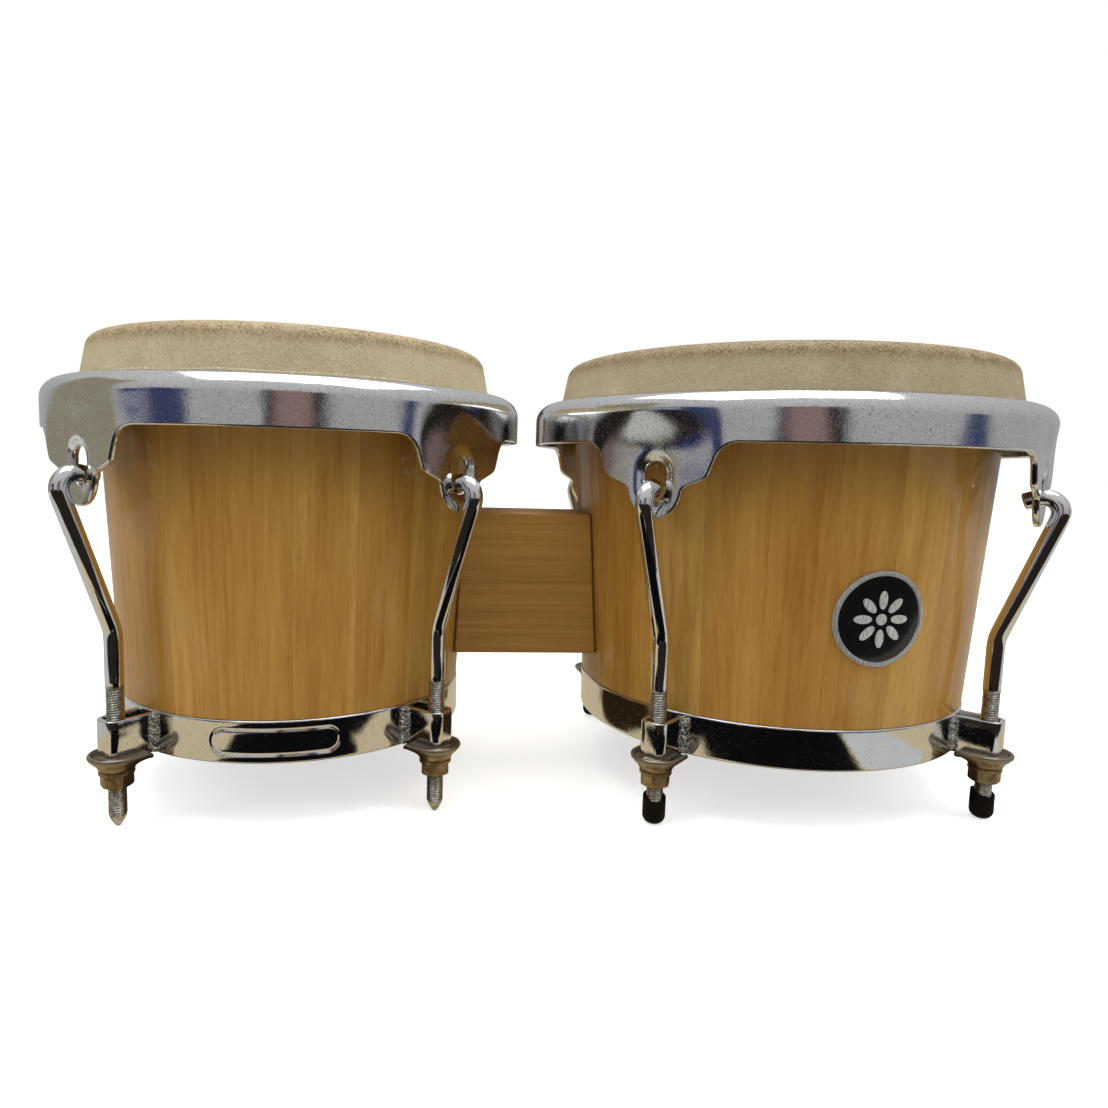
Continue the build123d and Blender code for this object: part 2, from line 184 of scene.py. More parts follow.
class Builder:
    """Gathers grids of points into one mesh, and keeps a value for each point for the materials."""

    def __init__(self):
        self.points, self.faces, self.values = [], [], []
        self.count = 0

    def add(self, points, faces, value=0.0):
        points = np.asarray(points, float).reshape(-1, 3)
        self.points.append(points)
        self.values.append(np.broadcast_to(value, len(points)).astype(float))
        self.faces.extend([[i + self.count for i in f] for f in faces])
        self.count += len(points)

    def grid(self, points, wrap_rows=False, wrap_columns=True, value=0.0):
        """A grid of rows and columns of points joined by four-sided faces."""
        rows, columns = points.shape[:2]
        i, j = np.meshgrid(
            np.arange(rows if wrap_rows else rows - 1),
            np.arange(columns if wrap_columns else columns - 1),
            indexing="ij",
        )
        below, right = (i + 1) % rows, (j + 1) % columns
        corners = (i * columns + j, i * columns + right, below * columns + right, below * columns + j)
        quads = np.stack(corners, -1).reshape(-1, 4)
        value = np.broadcast_to(value, (rows, columns)).reshape(-1)
        self.add(points, quads.tolist(), value)

    def fan(self, ring):
        """Closes a ring of points with a flat face."""
        self.add(ring, [list(range(len(ring)))])

    def closed_tube(self, points, value=0.0):
        """A grid of rings with both of its ends closed."""
        self.grid(points, value=value)
        self.fan(points[0])
        self.fan(points[-1])

    def make(self, name, material, body, replaces=(), sharp=32.0):
        mesh = bpy.data.meshes.new(name)
        points = np.concatenate(self.points) * MM
        mesh.from_pydata(points.tolist(), [], self.faces)
        values = mesh.attributes.new("part", "FLOAT", "POINT")
        values.data.foreach_set("value", np.concatenate(self.values).astype(np.float32))
        work = bmesh.new()
        work.from_mesh(mesh)
        bmesh.ops.remove_doubles(work, verts=work.verts, dist=2e-7)
        bmesh.ops.dissolve_degenerate(work, edges=work.edges, dist=1e-8)
        bmesh.ops.recalc_face_normals(work, faces=work.faces)
        work.to_mesh(mesh)
        work.free()
        mesh.shade_smooth()
        mesh.set_sharp_from_angle(angle=math.radians(sharp))
        return place_piece(name, mesh, material, body, replaces)


def add_object(name, data):
    thing = bpy.data.objects.new(name, data)
    bpy.context.scene.collection.objects.link(thing)
    return thing


def place_piece(name, mesh, material, body, replaces=()):
    piece = add_object(name, mesh)
    mesh.materials.append(material)
    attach(piece, body)
    if replaces:
        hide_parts(*replaces)
    return piece


def rounded(corners, radii, closed=True, steps=6):
    """A polygon or polyline with its corners rounded off."""
    corners = [np.array(c, float) for c in corners]
    points = []
    for i, (corner, radius) in enumerate(zip(corners, radii)):
        if radius == 0 or (not closed and i in (0, len(corners) - 1)):
            points.append(corner)
            continue
        before = corners[i - 1] - corner
        after = corners[(i + 1) % len(corners)] - corner
        before /= np.linalg.norm(before)
        after /= np.linalg.norm(after)
        angle = math.acos(np.clip(before @ after, -1, 1))
        middle = (before + after) / np.linalg.norm(before + after)
        centre = corner + middle * radius / math.sin(angle / 2)
        start = corner + before * radius / math.tan(angle / 2) - centre
        end = corner + after * radius / math.tan(angle / 2) - centre
        sweep = math.pi - angle
        for t in np.linspace(0, 1, steps + 1):
            points.append(
                centre + (math.sin((1 - t) * sweep) * start + math.sin(t * sweep) * end) / math.sin(sweep)
            )
    return np.array(points)


def divided(points, step, closed=True):
    """The same line with points no further apart than step."""
    out = []
    ends = np.roll(points, -1, axis=0) if closed else points[1:]
    for a, b in zip(points, ends):
        pieces = max(1, math.ceil(np.linalg.norm(b - a) / step))
        out.extend(a + (b - a) * t for t in np.arange(pieces) / pieces)
    if not closed:
        out.append(points[-1])
    return np.array(out)


def eased(line, reach):
    """A line with its bends let out a little, so that straights run smoothly into them."""
    offsets = np.arange(-3 * reach, 3 * reach + 1)
    weights = np.exp(-0.5 * (offsets / reach) ** 2)
    weights /= weights.sum()
    wide = np.concatenate((
        2 * line[0] - line[1:1 + 3 * reach][::-1],
        line,
        2 * line[-1] - line[-1 - 3 * reach:-1][::-1],
    ))
    return np.stack([np.convolve(wide[:, k], weights, "valid") for k in range(line.shape[1])], -1)


def turns(count):
    return np.arange(count) * TAU / count


def smoothstep(low, high, x):
    t = np.clip((x - low) / (high - low), 0, 1)
    return t * t * (3 - 2 * t)


def waves(angle, seed, count=5, low=2, high=14):
    """A smooth random wave around a circle, from -1 to 1, the same each run."""
    random = np.random.default_rng(seed)
    total = np.zeros_like(angle)
    for _ in range(count):
        size, lobes, phase = random.uniform(0.3, 1), random.integers(low, high), random.uniform(0, TAU)
        total = total + size * np.sin(lobes * angle + phase)
    return total / count


# ---------------------------------------------------------------- material helpers

def linear(red, green, blue):
    """A colour from 0-255 screen values."""
    def channel(c):
        c /= 255
        return c / 12.92 if c <= 0.04045 else ((c + 0.055) / 1.055) ** 2.4
    return (channel(red), channel(green), channel(blue), 1.0)


def set_stops(ramp, stops):
    elements = ramp.color_ramp.elements
    while len(elements) < len(stops):
        elements.new(0.5)
    for element, (position, colour) in zip(elements, stops):
        element.position, element.color = position, colour


class Shader:
    """One procedural material, put together from texture nodes in the object's own coordinates."""

    def __init__(self, name, **settings):
        self.material = bpy.data.materials.new(name)
        self.material.use_nodes = True
        self.tree = self.material.node_tree
        self.surface = self.tree.nodes["Principled BSDF"]
        self.set(**settings)
        self.coords = self.node("ShaderNodeTexCoord").outputs["Object"]

    def set(self, **settings):
        for key, value in settings.items():
            self.surface.inputs[key.replace("_", " ")].default_value = value

    def node(self, kind, inputs=None, **attributes):
        node = self.tree.nodes.new(kind)
        for key, value in attributes.items():
            setattr(node, key, value)
        for key, value in (inputs or {}).items():
            if isinstance(value, bpy.types.NodeSocket):
                self.tree.links.new(value, node.inputs[key])
            else:
                node.inputs[key].default_value = value
        return node

    def link(self, output, name):
        self.tree.links.new(output, self.surface.inputs[name])

    def stretch(self, vector, scale):
        return self.node("ShaderNodeMapping", {"Vector": vector, "Scale": scale}).outputs["Vector"]

    def noise(self, vector, scale, detail=4.0, roughness=0.55, distortion=0.0):
        inputs = {
            "Vector": vector,
            "Scale": scale,
            "Detail": detail,
            "Roughness": roughness,
            "Distortion": distortion,
        }
        return self.node("ShaderNodeTexNoise", inputs).outputs["Fac"]

    def math(self, operation, a, b=0.0):
        return self.node("ShaderNodeMath", {0: a, 1: b}, operation=operation).outputs[0]

    def times(self, a, b):
        return self.math("MULTIPLY", a, b)

    def plus(self, a, b):
        return self.math("ADD", a, b)

    def fade(self, value, low, high, to_low=0.0, to_high=1.0):
        inputs = {"Value": value, "From Min": low, "From Max": high, "To Min": to_low, "To Max": to_high}
        node = self.node("ShaderNodeMapRange", inputs, interpolation_type="SMOOTHSTEP")
        return node.outputs["Result"]

    def ramp(self, value, stops):
        node = self.node("ShaderNodeValToRGB", {"Fac": value})
        set_stops(node, stops)
        return node.outputs["Color"]

    def shades(self, value, *stops):
        """A ramp whose stops each give a position and a colour in 0-255 screen values."""
        return self.ramp(value, [(position, linear(*screen)) for position, *screen in stops])

    def mix_colour(self, share, a, b, blend="MIX"):
        node = self.node("ShaderNodeMix", data_type="RGBA", blend_type=blend)
        sockets = {"Factor_Float": share, "A_Color": a, "B_Color": b}
        for socket in node.inputs:
            if socket.identifier in sockets:
                value = sockets[socket.identifier]
                if isinstance(value, bpy.types.NodeSocket):
                    self.tree.links.new(value, socket)
                else:
                    socket.default_value = value
        return next(s for s in node.outputs if s.identifier == "Result_Color")

    def part(self):
        """The value kept for each point of the mesh."""
        return self.node("ShaderNodeAttribute", attribute_name="part").outputs["Fac"]

    def bump(self, height, strength, distance, before=None):
        inputs = {"Height": height, "Strength": strength, "Distance": distance}
        if before is not None:
            inputs["Normal"] = before
        return self.node("ShaderNodeBump", inputs).outputs["Normal"]


def shell_wood():
    """Honey-coloured staves under clear lacquer, with painted shade darkening their tops beside the hoop. The
    mesh gives each its own tone.
    """
    s = Shader("shell_wood", Roughness=0.5, Specular_IOR_Level=0.2, Coat_Weight=0.5, Coat_Roughness=0.06)
    tone = s.part()
    shift = s.node("ShaderNodeCombineXYZ", {"Z": s.times(tone, 40.0)}).outputs[0]
    moved = s.node("ShaderNodeVectorMath", {0: s.coords, 1: shift}, operation="ADD").outputs[0]
    broad = s.noise(s.stretch(moved, (1, 1, 0.07)), 85.0, 3.0, 0.5, 0.3)
    streak = s.noise(s.stretch(moved, (1, 1, 0.014)), 430.0, 4.0, 0.6, 0.15)
    fine = s.noise(s.stretch(moved, (1, 1, 0.022)), 1500.0, 3.0, 0.6)
    grain = s.plus(s.times(broad, 0.55), s.times(streak, 0.45))
    colour = s.shades(grain, (0.32, 184, 134, 58), (0.50, 206, 162, 84), (0.68, 220, 180, 102))
    staves = (0.0, 220, 200, 164), (0.35, 246, 238, 220), (0.7, 232, 216, 186), (1.0, 255, 252, 244)
    stave = s.shades(tone, *staves)
    colour = s.mix_colour(1.0, colour, stave, "MULTIPLY")
    colour = s.mix_colour(s.fade(fine, 0.40, 0.72, 0.0, 0.20), colour, linear(140, 92, 32))
    pores = s.fade(s.noise(s.stretch(moved, (1, 1, 0.04)), 2300.0, 2.0, 0.5), 0.64, 0.72)
    colour = s.mix_colour(s.times(pores, 0.22), colour, linear(110, 70, 22))
    height = s.node("ShaderNodeSeparateXYZ", {0: s.coords}).outputs["Z"]
    # Painted shade: the staves darken towards their tops, standing in for the hoop's shadow.
    painted_hoop_shade = s.fade(height, 0.118, 0.166, 0.0, 0.42)
    s.link(s.mix_colour(painted_hoop_shade, colour, linear(108, 76, 40)), "Base Color")
    s.link(s.bump(streak, 0.08, 0.0002), "Normal")
    return s.material


def block_wood():
    """Browner hardwood with its grain along the block, darkened in the joints that the mesh marks by painted
    shadow and dirt.
    """
    s = Shader("block_wood", Roughness=0.5, Specular_IOR_Level=0.25, Coat_Weight=0.3, Coat_Roughness=0.2)
    broad = s.noise(s.stretch(s.coords, (0.07, 1, 1)), 110.0, 3.0, 0.5, 0.4)
    streak = s.noise(s.stretch(s.coords, (0.02, 1, 1)), 620.0, 5.0, 0.6, 0.2)
    grain = s.plus(s.times(broad, 0.5), s.times(streak, 0.5))
    colour = s.shades(grain, (0.30, 162, 112, 44), (0.50, 184, 134, 60), (0.70, 202, 152, 76))
    pores = s.fade(s.noise(s.stretch(s.coords, (0.05, 1, 1)), 1900.0, 2.0), 0.60, 0.70)
    colour = s.mix_colour(s.times(pores, 0.35), colour, linear(84, 50, 18))
    # Painted shadow gap and dirt: darker where the block's ends meet the shells.
    colour = s.mix_colour(s.times(s.part(), 0.8), colour, linear(38, 16, 4))
    s.link(colour, "Base Color")
    s.link(s.bump(streak, 0.2, 0.0003), "Normal")
    return s.material


def rawhide(name, shade):
    """Cream hide, speckled all over and dark with pores along the rounded edge that the mesh marks."""
    s = Shader(name, Roughness=0.66)
    s.set(Subsurface_Weight=0.06, Subsurface_Radius=(0.004, 0.0025, 0.0015), Subsurface_Scale=0.5)
    edge = s.part()
    cloud = s.noise(s.coords, 38.0, 5.0, 0.6, 0.4)
    colour = s.shades(cloud, (0.30, 176, 160, 124), (0.52, 190, 176, 142), (0.72, 202, 190, 160))
    fine = s.noise(s.coords, 1250.0, 3.0, 0.7)
    colour = s.mix_colour(s.fade(fine, 0.46, 0.66, 0.0, 0.42), colour, linear(136, 114, 74))
    pale = s.noise(s.coords, 1700.0, 2.0, 0.6)
    colour = s.mix_colour(s.fade(pale, 0.52, 0.68, 0.0, 0.35), colour, linear(224, 214, 190))
    patch = s.noise(s.coords, 130.0, 4.0, 0.6)
    near = s.times(s.fade(edge, 0.05, 0.8), s.fade(patch, 0.25, 0.6, 0.45, 1.0))
    colour = s.mix_colour(s.times(near, 0.5), colour, linear(158, 132, 84))
    pores = s.fade(s.noise(s.coords, 1050.0, 4.0, 0.8), 0.44, 0.60)
    colour = s.mix_colour(s.times(s.times(pores, near), 0.8), colour, linear(96, 74, 42))
    s.link(s.mix_colour(1.0, colour, shade, "MULTIPLY"), "Base Color")
    height = s.plus(s.noise(s.coords, 700.0, 5.0, 0.7), s.times(cloud, 2.0))
    s.link(s.bump(height, 0.4, 0.0004), "Normal")
    s.link(s.fade(cloud, 0.3, 0.7, 0.58, 0.74), "Roughness")
    return s.material


def frayed_hide():
    s = Shader("frayed_hide", Roughness=0.8)
    fibre = s.noise(s.coords, 900.0, 4.0, 0.7)
    s.link(s.shades(fibre, (0.3, 176, 158, 120), (0.7, 226, 216, 190)), "Base Color")
    s.link(s.bump(fibre, 0.6, 0.0004), "Normal")
    return s.material


def chrome(name, pits, haze, grain_share, tint=(0.80, 0.81, 0.82, 1.0)):
    """Chrome plate over pressed steel: soft waves in the sheet, fine grain, dark pits and a haze of wear."""
    s = Shader(name, Metallic=1.0, Roughness=0.08)
    field = s.fade(s.noise(s.coords, 26.0, 3.0, 0.6), 0.38, 0.62, 0.25, 1.0)
    speck = s.fade(s.noise(s.coords, 1150.0, 2.0, 0.6), 0.64, 0.71)
    speck = s.times(speck, s.times(field, pits))
    cloud = s.noise(s.coords, 120.0, 6.0, 0.7)
    grain = s.noise(s.coords, 1500.0, 3.0, 0.75)
    colour = s.mix_colour(s.fade(cloud, 0.35, 0.75, 0.0, haze), tint, (0.62, 0.62, 0.61, 1.0))
    colour = s.mix_colour(s.fade(grain, 0.42, 0.66, 0.0, grain_share), colour, (0.42, 0.42, 0.42, 1.0))
    colour = s.mix_colour(speck, colour, (0.10, 0.085, 0.07, 1.0))
    s.link(colour, "Base Color")
    dust = s.fade(s.noise(s.coords, 1900.0, 2.0, 0.6), 0.62, 0.70, 0.0, 0.5 * grain_share)
    rough = s.plus(s.fade(cloud, 0.35, 0.8, 0.05, 0.05 + 0.4 * haze), s.times(speck, 0.4))
    s.link(s.plus(rough, dust), "Roughness")
    waves_in_sheet = s.bump(s.noise(s.coords, 32.0, 2.0, 0.4), 1.0, 0.0007)
    ripples = s.bump(s.noise(s.coords, 105.0, 2.0, 0.5), 0.6, 0.0001, waves_in_sheet)
    s.link(s.bump(grain, 0.35 * grain_share, 0.00012, ripples), "Normal")
    return s.material


def dull_nickel():
    """Dull plate gone brown on the seats and nuts, greyer on the lips, which the mesh marks."""
    s = Shader("dull_nickel", Metallic=1.0, Roughness=0.36)
    stain = s.noise(s.coords, 210.0, 6.0, 0.7, 0.6)
    spot = s.fade(s.noise(s.coords, 1400.0, 3.0, 0.7), 0.55, 0.75)
    colour = s.shades(stain, (0.30, 104, 84, 56), (0.50, 150, 131, 101), (0.70, 186, 171, 142))
    colour = s.mix_colour(s.times(s.part(), 0.8), colour, linear(156, 147, 134))
    colour = s.mix_colour(s.times(spot, 0.5), colour, linear(86, 70, 50))
    s.link(colour, "Base Color")
    s.link(s.fade(stain, 0.3, 0.7, 0.48, 0.30), "Roughness")
    s.link(s.bump(s.noise(s.coords, 1800.0, 3.0, 0.6), 0.18, 0.0001), "Normal")
    return s.material


def hook_chrome():
    """Chrome on the hook's bar, turning to worn bare plate on its thread, which the mesh marks."""
    s = Shader("hook_chrome", Metallic=1.0, Roughness=0.06)
    thread = s.part()
    cloud = s.noise(s.coords, 160.0, 5.0, 0.7)
    pit = s.fade(s.noise(s.coords, 1100.0, 2.0), 0.70, 0.76)
    colour = s.mix_colour(s.fade(cloud, 0.4, 0.8, 0.0, 0.3), (0.82, 0.83, 0.84, 1.0), (0.6, 0.59, 0.57, 1.0))
    colour = s.mix_colour(s.times(pit, 0.6), colour, (0.14, 0.12, 0.10, 1.0))
    dirt = s.noise(s.coords, 520.0, 5.0, 0.7)
    bare = s.shades(dirt, (0.32, 122, 117, 108), (0.62, 208, 206, 200))
    s.link(s.mix_colour(thread, colour, bare), "Base Color")
    plated = s.fade(cloud, 0.35, 0.8, 0.04, 0.12)
    worn = s.fade(dirt, 0.3, 0.7, 0.34, 0.20)
    step = s.times(thread, s.math("SUBTRACT", worn, plated))
    s.link(s.plus(plated, step), "Roughness")
    s.link(s.bump(s.noise(s.coords, 60.0, 2.0, 0.4), 0.25, 0.0004), "Normal")
    return s.material


def weld_metal():
    """Plated weld, with painted highlights where it is proud and painted shade in its folds."""
    s = Shader("weld_metal", Metallic=1.0, Roughness=0.22)
    lump = s.noise(s.coords, 900.0, 4.0, 0.7, 0.8)
    # Painted highlight and shade: the colour follows the lumps' height, near black in the folds and near
    # white where proud.
    s.link(s.shades(lump, (0.40, 26, 25, 24), (0.47, 176, 174, 170), (0.60, 244, 244, 242)), "Base Color")
    s.link(s.bump(lump, 1.0, 0.0006), "Normal")
    return s.material


def rubber():
    """Old black-brown rubber, dusty."""
    s = Shader("rubber", Roughness=0.6, Specular_IOR_Level=0.1)
    dust = s.noise(s.coords, 700.0, 5.0, 0.7)
    s.link(s.shades(dust, (0.35, 12, 8, 5), (0.7, 28, 22, 16)), "Base Color")
    s.link(s.bump(s.noise(s.coords, 1600.0, 3.0), 0.3, 0.0002), "Normal")
    s.link(s.fade(dust, 0.3, 0.7, 0.5, 0.8), "Roughness")
    return s.material


def brushed(name, low, high, roughness, metallic=1.0):
    """Satin metal with fine scratches."""
    s = Shader(name, Metallic=metallic, Roughness=roughness)
    scratch = s.noise(s.stretch(s.coords, (1, 1, 0.12)), 1500.0, 4.0, 0.7)
    s.link(s.ramp(scratch, [(0.3, low), (0.7, high)]), "Base Color")
    s.link(s.fade(scratch, 0.3, 0.7, roughness * 0.7, roughness * 1.4), "Roughness")
    s.link(s.bump(scratch, 0.12, 0.0001), "Normal")
    return s.material


def badge_black():
    s = Shader("badge_black", Roughness=0.12, Coat_Weight=0.3, Coat_Roughness=0.03)
    speck = s.noise(s.coords, 1600.0, 4.0, 0.7)
    s.link(s.shades(speck, (0.4, 12, 12, 13), (0.75, 34, 34, 36)), "Base Color")
    s.link(s.fade(speck, 0.4, 0.7, 0.1, 0.22), "Roughness")
    return s.material


WOOD = shell_wood()
BLOCK_WOOD = block_wood()
HIDES = {
    "macho": rawhide("rawhide_pale", (1.0, 1.0, 1.0, 1.0)),
    # The large drum's hide is a darker copy of the same hide.
    "hembra": rawhide("rawhide_darker", (0.79, 0.78, 0.76, 1.0)),
}
FRAYED = frayed_hide()
HOOP_CHROME = chrome("hoop_chrome", 0.8, 0.25, 0.55)
RING_CHROME = chrome("ring_chrome", 0.7, 0.12, 0.3)
HOOK_CHROME = hook_chrome()
NICKEL = dull_nickel()
WELD = weld_metal()
RUBBER = rubber()
BADGE_METAL = brushed("badge_metal", linear(150, 149, 146), linear(204, 203, 200), 0.36, 0.4)
EMBLEM = brushed("emblem_silver", linear(190, 189, 186), linear(240, 240, 238), 0.3, 0.35)
BADGE_BLACK = badge_black()
STEEL = brushed("plain_steel", linear(120, 118, 112), linear(178, 176, 170), 0.38)
BRASS = brushed("plain_brass", linear(160, 122, 60), linear(206, 170, 100), 0.35)


# ---------------------------------------------------------------- shells, heads and block

def shell(drum):
    """The tapered barrel, one closed solid for each stave, with the ring's rebate at its foot."""
    ring_seat = drum.ring - RING_THICKNESS - 0.05
    inside_foot = drum.shell_radius(drum.foot_z) - WALL
    section = rounded(
        [
            (inside_foot, drum.foot_z),
            (ring_seat, drum.foot_z),
            (ring_seat, drum.ring_top_z),
            (drum.shell_foot, drum.ring_top_z),
            (drum.shell_top, drum.top_z),
            (drum.shell_top - WALL, drum.top_z),
        ],
        [0.8, 0.6, 0, 0.5, 4.0, 2.5],
        steps=5,
    )
    section = divided(section, 14.0)
    random = np.random.default_rng(11 + drum.staves)
    tones = random.permutation(np.linspace(0.04, 0.96, drum.staves))
    width = TAU / drum.staves
    glue = 0.035 / drum.shell_top
    columns = 14
    builder = Builder()
    for index, tone in enumerate(tones):
        start = drum.first_glue_line + index * width
        angle = np.linspace(start + glue, start + width - glue, columns)
        points = drum.place(section[None, :, 0], angle[:, None], section[None, :, 1])
        builder.grid(points, wrap_rows=False, wrap_columns=True, value=tone)
        for side in (0, -1):
            builder.add(points[side], [list(range(len(section)))], tone)
    builder.make(f"{drum.name}_shell", WOOD, "shells", [f"{drum.name}_staves"])


def hide_head(drum):
    """The head: a flat skin, a soft rounded edge, and a collar that flares down into the hoop."""
    inside = drum.shell_top + 0.05
    outside = inside + SKIN
    line = rounded(
        [
            (0.0, drum.head_top_z),
            (outside, drum.head_top_z),
            (drum.collar, drum.hoop_top_z),
            (drum.collar, drum.collar_foot_z),
        ],
        [0, HEAD_ROUND, 5.0, 0],
        closed=False,
        steps=12,
    )
    line = divided(line, 2.6, closed=False)
    normal = turned_right(tangents(line))
    along = np.concatenate(([0], np.cumsum(np.linalg.norm(np.diff(line, axis=0), axis=1))))
    bend = outside - 2.0
    edge = np.exp(-(((along - bend - 1.5) / 5.5) ** 2))
    angle = turns(240)
    builder = Builder()
    uneven = waves(angle, 3 + drum.staves, 6)[None, :] * 0.16
    fade = smoothstep(bend - 20, bend, along) * (1 - smoothstep(along[-1] - 12, along[-1] - 8, along))
    points = []
    for offset in (0.0, SKIN):
        profile = line + normal * offset
        profile[0, 0] = 0.0
        radius = np.maximum(profile[:, :1], 0) + uneven * fade[:, None]
        points.append(drum.place(radius, angle[None, :], profile[:, 1:2]))
    outer, inner = points
    rim = edge[:, None]
    builder.grid(outer, value=rim)
    builder.grid(inner[::-1], value=0.0)
    builder.grid(np.stack((outer[-1], inner[-1])), value=0.0)
    builder.make(f"{drum.name}_rawhide", HIDES[drum.name], "shells", [f"{drum.name}_head"])


def hide_lap(drum):
    """The hide turned round the flesh ring."""
    centre_r = drum.collar + FLESH_RING_GAP + FLESH_RING
    centre_z = drum.hoop_top_z - SHEET - FLESH_RING
    sweep = np.radians(np.linspace(-172, 62, 20))
    angle = turns(200)
    ripple = waves(angle, 9 + drum.staves, 6, 8, 30)[None, :]
    rows = []
    for radius, line in ((4.35, sweep), (3.12, sweep[::-1])):
        lift = 0.22 * ripple * np.sin((line[:, None] + math.pi) * 0.7)
        r = centre_r + (radius + lift) * np.cos(line)[:, None]
        z = centre_z + (radius + lift) * np.sin(line)[:, None]
        rows.append(drum.place(r, angle[None, :], z))
    builder = Builder()
    builder.grid(np.concatenate(rows), wrap_rows=True)
    builder.make(f"{drum.name}_hide_lap", FRAYED, drum.hoop_set)


def hide_edge(drum, height):
    """The trimmed, frayed edge of the hide standing between the collar and the flange."""
    count = 900
    angle = turns(count)
    random = np.random.default_rng(21 + drum.staves)
    jag = random.uniform(0, 1, count)
    jag = 0.6 * jag + 0.4 * np.roll(jag, 1)
    slow = 0.5 + 0.5 * waves(angle, 31 + drum.staves, 6, 3, 20)
    top = drum.hoop_top_z + height * (0.15 + 0.5 * slow + 0.6 * jag * slow)
    base = drum.hoop_top_z - SHEET
    inner, outer = drum.collar + 0.14, drum.collar + 0.92
    lean = 0.25 * waves(angle, 41 + drum.staves, 5, 10, 60)
    rows = [
        drum.place(inner, angle, base),
        drum.place(inner, angle, drum.hoop_top_z),
        drum.place(inner + 0.15 + 0.2 * np.abs(lean), angle, top),
        drum.place(outer - 0.25 + 0.2 * np.abs(lean), angle, top - 0.1),
        drum.place(outer, angle, drum.hoop_top_z),
        drum.place(outer, angle, base),
    ]
    builder = Builder()
    builder.grid(np.stack(rows), wrap_rows=True)
    builder.make(f"{drum.name}_hide_edge", FRAYED, drum.hoop_set, sharp=60.0)


def block():
    """The centre block, its long edges eased and its ends hollowed to fit the tapered shells."""
    low, high = box_mm("centre_block")
    loop = rounded(
        [(low[1], low[2]), (high[1], low[2]), (high[1], high[2]), (low[1], high[2])],
        [1.6] * 4,
        steps=5,
    )
    loop = divided(loop, 3.0)
    centre = loop.mean(0)

    def end(drum, share):
        yz = centre + (loop - centre) * share
        radius = drum.shell_radius(yz[:, 1]) + 0.06
        x = drum.x + drum.block_side * np.sqrt(radius**2 - yz[:, 0] ** 2)
        return np.stack((x, yz[:, 0], yz[:, 1]), -1)

    shares = np.linspace(0, 1, 14)
    rows = [end(macho, t) for t in shares]
    left, right = end(macho, 1.0), end(hembra, 1.0)
    length = np.linalg.norm(right - left, axis=1)[:, None]
    ease, clean = 0.6 / length, 1.5 / length
    rows[-1] = centre_shrunk(left, centre, 0.4)
    rows += [left + (right - left) * t for t in (ease, clean, 0.25, 0.5, 0.75, 1 - clean, 1 - ease)]
    ends = [end(hembra, t) for t in shares[::-1]]
    ends[0] = centre_shrunk(right, centre, 0.4)
    # Marks the block's ends for the painted joint shadow and dirt.
    joint_shade_and_dirt = np.concatenate((np.ones(len(shares) + 1), np.zeros(5), np.ones(len(shares) + 1)))
    builder = Builder()
    builder.grid(np.stack(rows + ends), value=joint_shade_and_dirt[:, None])
    builder.make("block_body", BLOCK_WOOD, "shells", ["centre_block"], sharp=40.0)


def centre_shrunk(points, centre, amount):
    """The same ring pulled in a little towards its middle, for an eased edge."""
    offset = points[:, 1:] - centre
    scale = 1 - amount / np.linalg.norm(offset, axis=1)[:, None]
    return np.concatenate((points[:, :1], centre + offset * scale), 1)


# ---------------------------------------------------------------- hoops

def hoop_section_lengths(drum):
    flange = drum.hoop - SHOULDER - (drum.collar + FLANGE_GAP)
    return flange, SHOULDER * math.pi / 2


def hoop_surface(drum, along, down):
    """The hoop's outer face, by the angle along it from an ear's middle and the distance down its section."""
    flange, arc = hoop_section_lengths(drum)
    turn = np.clip((down - flange) / SHOULDER, 0, math.pi / 2)
    radius = np.where(
        down < flange,
        drum.collar + FLANGE_GAP + down,
        drum.hoop - SHOULDER + SHOULDER * np.sin(turn),
    )
    z = drum.hoop_top_z - SHOULDER * (1 - np.cos(turn)) - np.maximum(down - flange - arc, 0)
    spare = drum.hoop - drum.ear_face / np.cos(along)
    flat = (spare + np.sqrt(spare**2 + 0.5)) / 2
    pressed = 1 - smoothstep(BAND_BOTTOM_Z - 4, drum.hoop_top_z - 3.0, z)
    radius = radius - flat * pressed
    sideways = radius * np.sin(along)
    half = (SLOT_TOP_Z - SLOT_BOTTOM_Z - SLOT_WIDTH) / 2
    middle = (SLOT_TOP_Z + SLOT_BOTTOM_Z) / 2
    beyond = np.hypot(sideways, np.maximum(np.abs(z - middle) - half, 0)) - SLOT_WIDTH / 2
    dish = 1.1 * np.exp(-((np.maximum(beyond, 0) / 2.8) ** 2))
    return drum.place(radius - dish, along, z)


def ear_half_outline(drum):
    """Right half of an ear's edge, from the band down to the bottom of the lobe, as (sideways, z)."""
    lobe_z = drum.ear_bottom_z + LOBE_RADIUS
    turn = np.linspace(math.radians(-14), -math.pi / 2, 16)
    lobe = pairs(LOBE_RADIUS * np.cos(turn), lobe_z + LOBE_RADIUS * np.sin(turn))
    upper = rounded(
        [
            (42.0, BAND_BOTTOM_Z),
            (26.8, BAND_BOTTOM_Z),
            (21.8, BAND_BOTTOM_Z - 13.2),
            (LOBE_RADIUS + 0.45, BAND_BOTTOM_Z - 17.2),
            lobe[0],
        ],
        [0, 9.0, 4.5, 3.5, 0],
        closed=False,
        steps=8,
    )
    return np.concatenate((upper[:-1], lobe))


def inset(loop, amount):
    """A closed loop of 2-D points moved to its left by amount."""
    tangent = np.roll(loop, -1, axis=0) - np.roll(loop, 1, axis=0)
    tangent /= np.linalg.norm(tangent, axis=1)[:, None]
    return loop - turned_right(tangent) * amount


